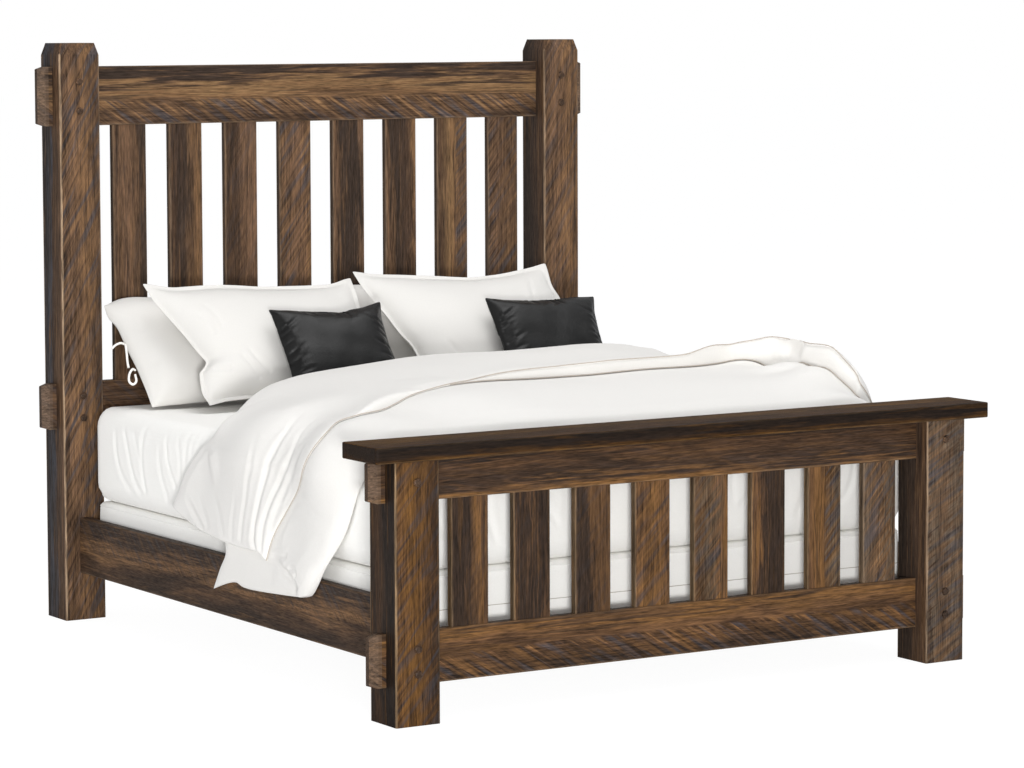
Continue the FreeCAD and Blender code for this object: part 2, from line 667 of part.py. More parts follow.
def make_centre_leg(number, slat, side):
    """Makes a leg under one of the middle cross slats, bored for a levelling foot."""
    label = f"centre_leg_{number + 1}"
    body = doc.addObject("PartDesign::Body", label)
    floor_gap = "(sizes.foot_height + sizes.foot_travel + sizes.foot_show)"
    section = new_sketch(body, f"{label}_section", "XY_Plane", floor_gap)
    half = "sizes.leg_size / 2"
    add_loop(section, eased_corners(f"-{half}", half, f"-{half}", half, "sizes.board_ease"))
    add_pad(body, section, f"{label}_block", f"{CLEAT_TOP} - {floor_gap}")
    bore = new_sketch(body, f"{label}_bore", "XY_Plane", floor_gap)
    add_circle(bore, ("0", "0"), "sizes.stem_diameter + 2 * sizes.stem_clearance")
    stem_top = "sizes.foot_height + sizes.stem_length + sizes.foot_travel + sizes.overrun"
    add_pocket(body, bore, f"{label}_bore_cut", f"{stem_top} - {floor_gap}", backwards=True)
    place(body, f"{side} * sizes.leg_offset", cross_place(slat))
    keep(body, label)


def make_levelling_foot(number, slat, side):
    """Makes the threaded foot of a centre leg: a round pad and a stem."""
    label = f"levelling_foot_{number + 1}"
    body = doc.addObject("PartDesign::Body", label)
    profile = new_sketch(body, f"{label}_profile", "XZ_Plane")
    rim = "sizes.foot_diameter / 2"
    stem = "sizes.stem_diameter / 2"
    corners = [
        ("0", "0"),
        (f"{rim} - sizes.foot_edge", "0"),
        (rim, "sizes.foot_edge"),
        (rim, "sizes.foot_height - sizes.foot_edge"),
        (f"{rim} - sizes.foot_edge", "sizes.foot_height"),
        (stem, "sizes.foot_height"),
        (stem, "sizes.foot_height + sizes.stem_length"),
        ("0", "sizes.foot_height + sizes.stem_length"),
    ]
    add_loop(profile, corners)
    turned = body.newObject("PartDesign::Revolution", f"{label}_turned")
    turned.Profile = profile
    turned.ReferenceAxis = (profile, ["V_Axis"])
    turned.Angle = 360
    place(body, f"{side} * sizes.leg_offset", cross_place(slat))
    keep(body, label)


# Soft pieces


def formula_value(name, formula):
    """Works out a formula through a cell of the sheet."""
    cell = f"D{len(SIZES) + len(soft_cells) + 1}"
    soft_cells[name] = cell
    sheet.set(cell, "=" + formula.replace("sizes.", ""))
    doc.recompute()
    return float(sheet.get(cell))


def add_soft(label, shape):
    """Adds a soft solid to the document as a node."""
    item = doc.addObject("Part::Feature", label)
    item.Shape = shape
    return keep(item, label)


def knee_of(radius):
    """Distance from the corner of a rounding to the middle of its arc, along each side."""
    return radius * (1 - math.cos(math.pi / 4))


def round_cornered(half_width, half_length, radius, height):
    """Closed wire of four lines and four quarter arcs at a height."""
    curves = []
    knee = knee_of(radius)
    for turn in range(4):
        wide, long = (half_width, half_length) if turn % 2 == 0 else (half_length, half_width)
        spin = FreeCAD.Rotation(FreeCAD.Vector(0, 0, 1), 90 * turn)
        points = [
            (wide, -long + radius),
            (wide, long - radius),
            (wide - knee, long - knee),
            (wide - radius, long),
        ]
        start, bend, middle, end = [spin.multVec(FreeCAD.Vector(*point, height)) for point in points]
        curves.append(Part.LineSegment(start, bend).toShape())
        curves.append(Part.Arc(bend, middle, end).toShape())
    return Part.Wire(curves)


# Levels through the foundation: the line it is measured from, then the height above that line and
# the inset, both as shares of a welt
FOUNDATION_SHARES = (
    ("base", 0, 1),
    ("base", 0.5, 0.5),
    ("seam", -0.5, 0.5),
    ("seam", 0, 0),
    ("seam", 0.5, 0.5),
    ("top", -2, 0.5),
    ("top", -0.5, 0),
    ("top", 0, 0.5),
)

# Levels through the mattress: share of its height, and inset as a share of a welt
MATTRESS_SHARES = (
    (0.00, 1.0),
    (0.015, 0.3),
    (0.03, 0.5),
    (0.25, 0.0),
    (0.60, 0.0),
    (0.86, 0.5),
    (0.94, 1.6),
    (0.975, 3.6),
    (1.00, 16.0),
)


def make_slab(label, width, length, radius, lift, steps):
    """Makes a stitched slab from round-cornered levels; each step is a height and an inset."""
    levels = []
    for level, inset in steps:
        corner = max(radius - inset, size("welt"))
        levels.append(round_cornered(width / 2 - inset, length / 2 - inset, corner, level))
    item = add_soft(label, Part.makeLoft(levels, True, True))
    item.Placement.Base = FreeCAD.Vector(0, bed_y, lift)


def make_foundation():
    """Makes the foundation with its seam welts."""
    welt = size("welt")
    lines = {"base": 0, "seam": size("foundation_seam"), "top": size("foundation_height")}
    steps = [(lines[line] + welt * above, welt * inset) for line, above, inset in FOUNDATION_SHARES]
    width = size("mattress_width") - 2 * size("foundation_side")
    length = size("mattress_length") - 2 * size("foundation_end")
    lift = formula_value("foundation_z", FOUNDATION_Z)
    make_slab("foundation", width, length, size("foundation_radius"), lift, steps)


def make_mattress():
    """Makes the mattress with a welt below, gently swollen sides and a crowned top."""
    height = size("mattress_height")
    welt = size("welt")
    steps = [(height * share, welt * inset) for share, inset in MATTRESS_SHARES]
    width = size("mattress_width")
    length = size("mattress_length")
    make_slab("mattress", width, length, size("mattress_radius"), mattress_top - height, steps)


# The duvet's shares: places along it run from the fold, 0, to the foot edge, 1. Places across it are
# shares of half the mattress width. Heights above the mattress are shares of the loft, and depths
# below it are shares of the drop.

# Largest rounding over an edge, as a share of the cloth's height there
TURN_SHARE = 0.6

# Where the top of a section has its corners, across
CREST_SHARES = (-0.85, -0.5, 0, 0.5, 0.85)

# The layer that covers the bed: place, depth of the left and right hem, then the heights at the
# left edge, at the corners and at the right edge
COVER_SHARES = (
    (0.006, 0.52, 0.58, 0.10, 0.16, 0.22, 0.24, 0.24, 0.22, 0.16),
    (0.050, 0.55, 0.62, 0.16, 0.30, 0.44, 0.46, 0.46, 0.44, 0.36),
    (0.212, 0.62, 0.80, 0.18, 0.32, 0.46, 0.50, 0.50, 0.48, 0.44),
    (0.239, 1.00, 0.84, 0.18, 0.32, 0.46, 0.50, 0.50, 0.48, 0.46),
    (0.300, 0.96, 0.90, 0.20, 0.34, 0.47, 0.52, 0.52, 0.52, 0.50),
    (0.400, 0.95, 0.93, 0.24, 0.36, 0.48, 0.54, 0.54, 0.56, 0.54),
    (0.500, 0.95, 0.94, 0.28, 0.40, 0.50, 0.56, 0.58, 0.62, 0.58),
    (0.600, 0.93, 0.93, 0.30, 0.42, 0.50, 0.54, 0.58, 0.64, 0.60),
    (0.700, 0.90, 0.92, 0.30, 0.42, 0.48, 0.50, 0.54, 0.60, 0.58),
    (0.760, 0.78, 0.91, 0.30, 0.41, 0.46, 0.47, 0.50, 0.54, 0.52),
    (0.830, 0.58, 0.90, 0.29, 0.40, 0.43, 0.44, 0.46, 0.48, 0.44),
    (0.900, 0.34, 0.87, 0.27, 0.37, 0.40, 0.40, 0.41, 0.42, 0.36),
    (0.946, 0.17, 0.80, 0.24, 0.34, 0.37, 0.37, 0.37, 0.38, 0.30),
    (0.981, 0.06, 0.62, 0.19, 0.28, 0.31, 0.31, 0.31, 0.31, 0.22),
    (1.000, 0.02, 0.40, 0.12, 0.16, 0.17, 0.17, 0.17, 0.17, 0.13),
)

# The flap that is turned back over it
FLAP_SHARES = (
    (0.000, 0.62, 0.62, 0.14, 0.22, 0.34, 0.36, 0.36, 0.34, 0.30),
    (0.012, 0.62, 0.62, 0.20, 0.34, 0.54, 0.58, 0.58, 0.56, 0.50),
    (0.037, 0.64, 0.64, 0.25, 0.42, 0.60, 0.70, 0.70, 0.68, 0.62),
    (0.100, 0.68, 0.66, 0.27, 0.46, 0.62, 0.71, 0.71, 0.69, 0.64),
    (0.200, 0.72, 0.68, 0.26, 0.46, 0.63, 0.71, 0.71, 0.70, 0.69),
    (0.300, 0.78, 0.70, 0.27, 0.46, 0.64, 0.72, 0.72, 0.73, 0.77),
    (0.400, 0.80, 0.72, 0.29, 0.47, 0.65, 0.73, 0.74, 0.80, 0.88),
    (0.500, 0.80, 0.72, 0.32, 0.50, 0.66, 0.74, 0.77, 0.87, 0.98),
    (0.600, 0.78, 0.72, 0.35, 0.54, 0.66, 0.73, 0.78, 0.88, 0.98),
    (0.700, 0.72, 0.72, 0.38, 0.57, 0.67, 0.71, 0.77, 0.87, 0.96),
    (0.800, 0.60, 0.70, 0.42, 0.60, 0.67, 0.69, 0.75, 0.84, 0.93),
    (0.900, 0.40, 0.62, 0.44, 0.58, 0.62, 0.64, 0.66, 0.72, 0.80),
)

# Front edge of the flap, seen from above: across and along
FLAP_EDGE_SHARES = (
    (-1.10, 0.890),
    (-1.010, 0.890),
    (-0.913, 0.875),
    (-0.803, 0.805),
    (-0.598, 0.705),
    (-0.424, 0.650),
    (-0.155, 0.568),
    (0.114, 0.518),
    (0.487, 0.486),
    (0.705, 0.472),
    (0.900, 0.459),
    (0.965, 0.505),
    (0.980, 0.654),
    (0.980, 0.876),
    (1.10, 0.876),
)

# Hanging parts of the flap, seen from the side: along and depth, from the hem's rear corner
FLAP_LEFT_SHARES = (
    (0.000, 0.545),
    (0.015, 0.540),
    (0.120, 0.610),
    (0.225, 0.672),
    (0.386, 0.703),
    (0.482, 0.703),
    (0.508, 0.745),
    (0.545, 0.571),
    (0.639, 0.361),
    (0.728, 0.175),
    (0.814, -0.071),
    (0.890, -0.215),
)
FLAP_RIGHT_SHARES = (
    (0.000, 0.575),
    (0.200, 0.640),
    (0.500, 0.680),
    (0.760, 0.640),
    (0.830, 0.560),
    (0.885, 0.300),
    (0.903, -0.135),
    (0.860, -0.285),
    (0.791, -0.405),
    (0.755, -0.520),
)

# Three places on the fold line, where it runs slantwise over the left corner of the mattress:
# across, along and depth
FOLD_SHARES = ((-1.010, 0.228, 0.031), (-1.010, 0.000, 0.545), (-0.525, 0.006, -0.267))


def cloth_section(row, sign, start, thickness):
    """Closed outline across the bed of one layer of the duvet, from its hems over the mattress.

    The layer flares out below the mattress top, so that it hangs clear of the side rails. It starts
    at a distance from the mattress and is as thick as told, with a fold's swelling on both sides.
    """
    along, left_hem, right_hem, *heights = row
    gap = size("soft_clearance")
    half = size("mattress_width") / 2
    inner = half + gap + start
    under = mattress_top + gap + start
    outer = inner + thickness + sign * size("duvet_wave") / 2
    rail_face = half + size("frame_side") - size("side_rail_inset") + gap
    rail_top = size("side_rail_bottom") + size("side_rail_height")
    slope = (rail_face - half - gap) / (mattress_top + gap - rail_top)
    fold_y = duvet_fold - duvet_length * along

    def point(across, height):
        return FreeCAD.Vector(across, fold_y, height)

    def side_points(side, depth, top):
        low = mattress_top - size("duvet_drop") * depth
        flare = slope * (under - low)
        bend = min(size("duvet_round"), TURN_SHARE * (top - low))
        knee = knee_of(bend)
        return (
            point(side * (inner + flare), low),
            point(side * (outer + flare), low),
            point(side * outer, top - bend),
            point(side * (outer - knee), top - knee),
            point(side * (outer - bend), top),
        )

    tops = [mattress_top + size("duvet_loft") * height for height in heights]
    left_in, left_out, left_side, left_knee, left_top = side_points(-1, left_hem, tops[0])
    right_in, right_out, right_side, right_knee, right_top = side_points(1, right_hem, tops[-1])
    corners = [right_side, right_out, right_in, point(inner, under)]
    corners += [point(-inner, under), left_in, left_out, left_side]
    crest = [left_top]
    crest += [point(share * half, top) for share, top in zip(CREST_SHARES, tops[1:-1])]
    crest.append(right_top)
    edges = [Part.LineSegment(*pair).toShape() for pair in zip(corners[:-1], corners[1:])]
    edges.append(Part.Arc(left_side, left_knee, left_top).toShape())
    edges += [Part.LineSegment(*pair).toShape() for pair in zip(crest[:-1], crest[1:])]
    edges.append(Part.Arc(right_top, right_knee, right_side).toShape())
    return Part.Wire(edges)


def cloth_layer(rows, start, thickness):
    """Lofts one layer of the duvet through its sections, swelling and sinking in turn."""
    sections = []
    for number, row in enumerate(rows):
        sign = 1 if number % 2 == 0 else -1
        sections.append(cloth_section(row, sign, start, thickness))
    return Part.makeLoft(sections, True, True)


def duvet_place(across, along, depth):
    """Point beside or over the bed, from shares along the duvet and down its sides."""
    return FreeCAD.Vector(
        across, duvet_fold - duvet_length * along, mattress_top - size("duvet_drop") * depth
    )


def prism(points, direction):
    """Makes a prism from the corners of a flat outline."""
    outline = Part.makePolygon(points + points[:1])
    return Part.Face(outline).extrude(direction)


def flap_mould():
    """Makes the space that the turned-back flap fills, above the bed and beside it."""
    half = size("mattress_width") / 2
    high = mattress_top + 2 * size("duvet_loft")
    behind = duvet_fold + size("duvet_round")
    reach = half + 2 * size("duvet_round")
    edge = [duvet_place(across * half, along, 0) for across, along in FLAP_EDGE_SHARES]
    back = [FreeCAD.Vector(point.x, behind, mattress_top) for point in (edge[-1], edge[0])]
    mould = prism(edge + back, FreeCAD.Vector(0, 0, high - mattress_top))
    for side, shares in ((-1, FLAP_LEFT_SHARES), (1, FLAP_RIGHT_SHARES)):
        inside = side * (half - size("duvet_flap"))
        outline = [duvet_place(inside, along, depth) for along, depth in shares]
        outline.append(FreeCAD.Vector(inside, outline[-1].y, high))
        outline.append(FreeCAD.Vector(inside, behind, high))
        outline.append(FreeCAD.Vector(inside, behind, outline[0].z))
        mould = mould.fuse(prism(outline, FreeCAD.Vector(side * reach - inside, 0, 0)))
    return mould


def corner_behind_fold():
    """Makes the block behind the slanting part of the fold line, over the left corner."""
    half = size("mattress_width") / 2
    places = [duvet_place(across * half, along, depth) for across, along, depth in FOLD_SHARES]
    normal = (places[1] - places[0]).cross(places[2] - places[0]).normalize()
    if normal.y < 0:
        normal = -normal
    reach = size("mattress_length")
    block = Part.makeBox(reach, reach, reach, FreeCAD.Vector(-reach / 2, -reach / 2, 0))
    block.Placement = FreeCAD.Placement(places[0], FreeCAD.Rotation(FreeCAD.Vector(0, 0, 1), normal))
    return block


def make_duvet():
    """Makes the duvet: the layer over the bed and its head end, turned back in a broad flap."""
    layer = size("duvet_layer")
    cover = cloth_layer(COVER_SHARES, 0, layer)
    flap = cloth_layer(FLAP_SHARES, layer / 2, layer / 2 + size("duvet_flap"))
    duvet = cover.fuse(flap.common(flap_mould())).cut(corner_behind_fold())
    add_soft("duvet", duvet.removeSplitter().Solids[0])


def pillow_outline(half_width, half_height, draw, level):
    """Closed wire of four arcs that draw in between the corners."""
    corners = [
        FreeCAD.Vector(half_width, half_height, level),
        FreeCAD.Vector(-half_width, half_height, level),
        FreeCAD.Vector(-half_width, -half_height, level),
        FreeCAD.Vector(half_width, -half_height, level),
    ]
    middles = [
        FreeCAD.Vector(0, half_height - draw, level),
        FreeCAD.Vector(-half_width + draw, 0, level),
        FreeCAD.Vector(0, -half_height + draw, level),
        FreeCAD.Vector(half_width - draw, 0, level),
    ]
    edges = []
    for index in range(4):
        arc = Part.Arc(corners[index], middles[index], corners[(index + 1) % 4])
        edges.append(arc.toShape())
    return Part.Wire(edges)


# Levels through half a pillow: share of the thickness, share of the outline, share of the draw
PILLOW_SHARES = ((0.50, 0.34, 0.2), (0.46, 0.58, 0.3), (0.34, 0.80, 0.6), (0.17, 0.93, 0.9))


def pillow_shape(width, height, thickness, edge, flange):
    """Makes a pillow that lies flat: a crown on both sides and a thin edge, with or without a flange."""
    levels = []
    draw = size("pillow_draw")
    inner_width = width / 2 - flange
    inner_height = height / 2 - flange
    for side in (-1, 1):
        half = []
        for deep, share, drawn in PILLOW_SHARES:
            level = side * thickness * deep
            half.append(pillow_outline(inner_width * share, inner_height * share, draw * drawn, level))
        if flange > 0:
            half.append(pillow_outline(inner_width, inner_height, draw, side * edge))
        half.append(pillow_outline(width / 2, height / 2, draw, side * edge / 2))
        levels += half if side < 0 else half[::-1]
    return Part.makeLoft(levels, True, True)


def lean_pillow(label, shape, height, lean, across, along, rest):
    """Leans a pillow back on its lower edge, with its lowest point a little above what it rests on."""
    tilt = FreeCAD.Rotation(FreeCAD.Vector(1, 0, 0), 90 - lean)
    rise = tilt.multVec(FreeCAD.Vector(0, height / 2, 0))
    item = add_soft(label, shape)
    item.Placement = FreeCAD.Placement(FreeCAD.Vector(across, along, rest) + rise, tilt)
    item.Placement.Base.z += rest + size("soft_clearance") - item.Shape.BoundBox.ZMin
    return item


def push_back(item, neighbours):
    """Pushes a piece towards the headboard until it leans on its neighbours."""
    wall = Part.makeCompound([nodes[name].Shape for name in neighbours])
    distance = item.Shape.distToShape(wall)[0]
    while distance > 2 * size("soft_clearance"):
        item.Placement.Base.y += distance - size("soft_clearance")
        distance = item.Shape.distToShape(wall)[0]


def make_pillows():
    """Makes the back pillows, the flanged front pillows and the lumbar cushions, each row on the last."""
    head_end = bed_y + size("mattress_length") / 2
    side_of_mattress = size("mattress_width") / 2
    middle = size("pillow_middle_gap")
    slats = [f"headboard_slat_{number + 1}" for number in range(int(size("slat_count")))]
    lift = mattress_top + size("lumbar_lift")
    kinds = (
        ("back_pillow", 0, size("pillow_lean"), mattress_top),
        ("front_pillow", size("flange_width"), size("pillow_lean"), mattress_top),
        ("lumbar_cushion", 0, size("lumbar_lean"), lift),
    )
    walls = {"left": slats, "right": slats}
    for kind, flange, lean, rest in kinds:
        name = kind.split("_cushion")[0]
        height = size(f"{name}_height")
        edge = size("flange_thickness")
        if kind == "lumbar_cushion":
            width = size("lumbar_width")
            left = size("lumbar_left_side") - side_of_mattress
            right = side_of_mattress - size("lumbar_right_side")
        else:
            reach = post_face - size(f"{name}_side_gap")
            width = reach - middle
            left = -(reach + middle) / 2
            right = (reach + middle) / 2
        shape = pillow_shape(width, height, size(f"{name}_thickness"), edge, flange)
        along = head_end - size(f"{name}_start")
        for side, across in (("left", left), ("right", right)):
            item = lean_pillow(f"{kind}_{side}", shape, height, lean, across, along, rest)
            push_back(item, walls[side])
            walls[side] = [f"{kind}_{side}"]


soft_cells = {}

for name, side in (("left", -1), ("right", 1)):
    make_post(f"headboard_post_{name}", side, HEAD_JOINTS, HEAD_Y, "sizes.headboard_height", True, False)
    make_post(f"footboard_post_{name}", side, FOOT_JOINTS, FOOT_Y, FOOT_POST_HEIGHT, False, True)
    make_side_rail(f"side_rail_{name}", side)
    make_cleat(f"rail_cleat_{name}", side)
make_plank_rail("headboard_top_rail", HEAD_JOINTS[0], HEAD_Y, False)
make_plank_rail("headboard_bottom_rail", HEAD_JOINTS[1], HEAD_Y, True)
make_plank_rail("footboard_top_rail", FOOT_JOINTS[0], FOOT_Y, False)
make_plank_rail("footboard_lower_rail", FOOT_JOINTS[1], FOOT_Y, True)
make_slats("headboard", "head_low", "head_top", HEAD_Y)
make_slats("footboard", "foot_low", "foot_top", FOOT_Y)
make_pegs("headboard_pegs", HEAD_JOINTS, HEAD_Y)
make_pegs("footboard_pegs", FOOT_JOINTS, FOOT_Y)
make_cap()
make_fittings()
for number in range(int(size("cross_count"))):
    make_cross_slat(number)
for number, (slat, side) in enumerate(LEG_PLACES):
    make_centre_leg(number, slat, side)
    make_levelling_foot(number, slat, side)
bed_y = formula_value("bed_y", BED_Y)
mattress_top = formula_value("mattress_z", MATTRESS_Z) + size("mattress_height")
post_face = formula_value("post_face", f"{OUTER_WIDTH} / 2 - sizes.post_size")
duvet_fold = bed_y + size("mattress_length") / 2 - size("duvet_head_gap")
duvet_length = size("mattress_length") - size("duvet_head_gap") - size("duvet_foot_gap")
make_foundation()
make_mattress()
make_duvet()
make_pillows()
doc.recompute()

# Every object is sound before anything is written
faults = []
for item in doc.Objects:
    if "Invalid" in item.State or "Error" in item.State:
        faults.append(f"{item.Label}: {item.State}")
for label, item in nodes.items():
    if item.Shape.isNull() or not item.Shape.isValid():
        faults.append(f"{label}: shape is not sound")
if faults:
    raise RuntimeError("; ".join(faults))

os.makedirs("parts", exist_ok=True)
for label, item in nodes.items():
    item.Shape.exportStep(f"parts/{label}.step")
    box = item.Shape.BoundBox
    solids = len(item.Shape.Solids)
    print(f"{label}: {solids} solids, {item.Shape.Volume / 1000:.1f} cm3, "
          f"x {box.XMin:.1f} {box.XMax:.1f} y {box.YMin:.1f} {box.YMax:.1f} z {box.ZMin:.1f} {box.ZMax:.1f}")
print(f"{len(nodes)} nodes")
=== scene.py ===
"""Slatted timber bed with a split foundation, mattress, duvet, pillows and leather cushions.

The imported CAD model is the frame: every timber and steel node keeps its shape and gets its finish
here, and every soft node is replaced by a sewn, filled piece that lies in the same place.
"""

from __future__ import annotations

import logging
import math
from collections.abc import Callable
from dataclasses import dataclass
from enum import Enum
from functools import partial

import bmesh
import bpy
import numpy as np
from mathutils import Matrix, Vector
from mathutils.bvhtree import BVHTree


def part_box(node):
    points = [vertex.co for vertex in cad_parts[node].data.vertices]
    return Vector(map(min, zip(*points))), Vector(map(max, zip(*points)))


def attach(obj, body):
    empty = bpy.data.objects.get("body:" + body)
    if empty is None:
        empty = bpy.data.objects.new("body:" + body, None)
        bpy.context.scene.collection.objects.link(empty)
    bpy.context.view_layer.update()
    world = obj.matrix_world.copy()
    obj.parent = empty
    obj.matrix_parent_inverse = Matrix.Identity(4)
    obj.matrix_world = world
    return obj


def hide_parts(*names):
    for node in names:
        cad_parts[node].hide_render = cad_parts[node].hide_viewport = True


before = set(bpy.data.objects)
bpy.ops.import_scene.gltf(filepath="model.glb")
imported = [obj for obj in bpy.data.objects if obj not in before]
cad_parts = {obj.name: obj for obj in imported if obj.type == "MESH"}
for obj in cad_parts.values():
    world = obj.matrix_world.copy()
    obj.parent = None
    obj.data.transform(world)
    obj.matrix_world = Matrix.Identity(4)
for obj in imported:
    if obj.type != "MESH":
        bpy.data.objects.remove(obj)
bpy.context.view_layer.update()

LOG = logging.getLogger("bed")
MM = 0.001
BODY = "bed"
WHITE = (1.0, 1.0, 1.0, 1.0)
# Scale at which a wave texture repeats once in a metre.
ONE_WAVE = 0.314


class Lay(Enum):
    """The axes that a board's grain and its width run along."""

    UPRIGHT = (2, 0)
    LEVEL = (0, 2)
    DEEP = (1, 2)
    FLAT = (0, 1)


class Slot(Enum):
    """The record's material slots for the pieces modelled here, which nothing here assigns."""

    COTTON = "cotton"
    TICKING = "ticking"
    LEATHER = "black_leather"
    PLATE_STEEL = "plate_steel"


class Weave(Enum):
    """What the threads of a cloth follow."""

    PLACE = "Object"
    CLOTH = "UV"


def linear(colour: str) -> tuple[float, float, float, float]:
    """Turn an sRGB hex colour into linear light.

    Args:
        colour: The colour as "#rrggbb".

    Returns:
        Red, green, blue and a full alpha.
    """
    shares = [int(colour[i : i + 2], 16) / 255 for i in (1, 3, 5)]
    red, green, blue = (s / 12.92 if s <= 0.04045 else ((s + 0.055) / 1.055) ** 2.4 for s in shares)
    return red, green, blue, 1.0


def add(
    tree: bpy.types.NodeTree,
    kind: str,
    *values: object,
    inputs: dict | None = None,
    out: int | str | None = 0,
    stops: tuple = (),
    **settings: object,
) -> bpy.types.NodeSocket | bpy.types.bpy_prop_collection:
    """Add a shader node with its settings, its values and its links.

    Args:
        tree: The node tree that gets the node.
        kind: The node's type, such as "Bump", and after a space its operation, as in "Math ADD".
        values: The first inputs in order. A socket is linked, and anything else is set.
        inputs: More inputs, by name or number.
        out: Name or number of the wanted output, or None for all outputs.
        stops: Place and colour of each stop, for a colour ramp.
        settings: The node's own properties.

    Returns:
        The wanted output socket, or the outputs.
    """
    kind, _, operation = kind.partition(" ")
    made = tree.nodes.new("ShaderNode" + kind)
    if operation:
        made.operation = operation
    for name, value in settings.items():
        setattr(made, name, value)
    for key, value in (*enumerate(values), *(inputs or {}).items()):
        if isinstance(value, bpy.types.NodeSocket):
            tree.links.new(value, made.inputs[key])
        else:
            made.inputs[key].default_value = value
    if stops:
        elements = made.color_ramp.elements
        while len(elements) < len(stops):
            elements.new(1.0)
        for element, (place, colour) in zip(elements, stops):
            element.position = place
            element.color = colour
    return made.outputs if out is None else made.outputs[out]


def new_material(name: str) -> tuple[bpy.types.Material, Callable]:
    """Make a material with an empty node tree.

    Args:
        name: The material's name.

    Returns:
        The material and the function that adds nodes to it.
    """
    material = bpy.data.materials.new(name)
    material.use_nodes = True
    material.node_tree.nodes.clear()
    return material, partial(add, material.node_tree)


def finish_surface(
    node: Callable,
    colour: bpy.types.NodeSocket | tuple,
    roughness: bpy.types.NodeSocket | float,
    normal: bpy.types.NodeSocket,
    **values: float,
) -> None:
    """Close a material with its surface shader.

    Args:
        node: The function that adds nodes to the material.
        colour: Base colour, a socket or linear RGBA.
        roughness: Roughness, a socket or a number.
        normal: The bumped normal's socket.
        values: More shader inputs, with underscores for the spaces in their names.
    """
    inputs = {"Base Color": colour, "Roughness": roughness, "Normal": normal}
    inputs.update({name.replace("_", " "): value for name, value in values.items()})
    node("OutputMaterial", node("BsdfPrincipled", inputs=inputs), out=None)


# Rough-sawn brown maple in a dark walnut stain: these are the tones the stain leaves on it.
TONES = {
    "black": "#2a221d",
    "dark": "#3b2f27",
    "umber": "#4d3a2c",
    "brown": "#5f4835",
    "tan": "#705540",
    "gold": "#7c5d40",
    "honey": "#866848",
    "slate": "#45454a",
    "grey": "#655647",
    "worn": "#b0967a",
    "worn_grey": "#675644",
    "tenon": "#6d5b4d",
    "planed": "#b8925f",
    "pale": "#c7a473",
}


@dataclass(frozen=True)
class Kerf:
    """Slanting marks that the saw leaves across a board.

    Attributes:
        angle: Degrees that the marks rise to the right, seen from the front or the left side.
        strength: How strongly they colour the board.
        start: Share of the board's width where they begin.
        end: Share of the board's width where they stop.
    """

    angle: float = 55.0
    strength: float = 0.3
    start: float = -0.2
    end: float = 1.2


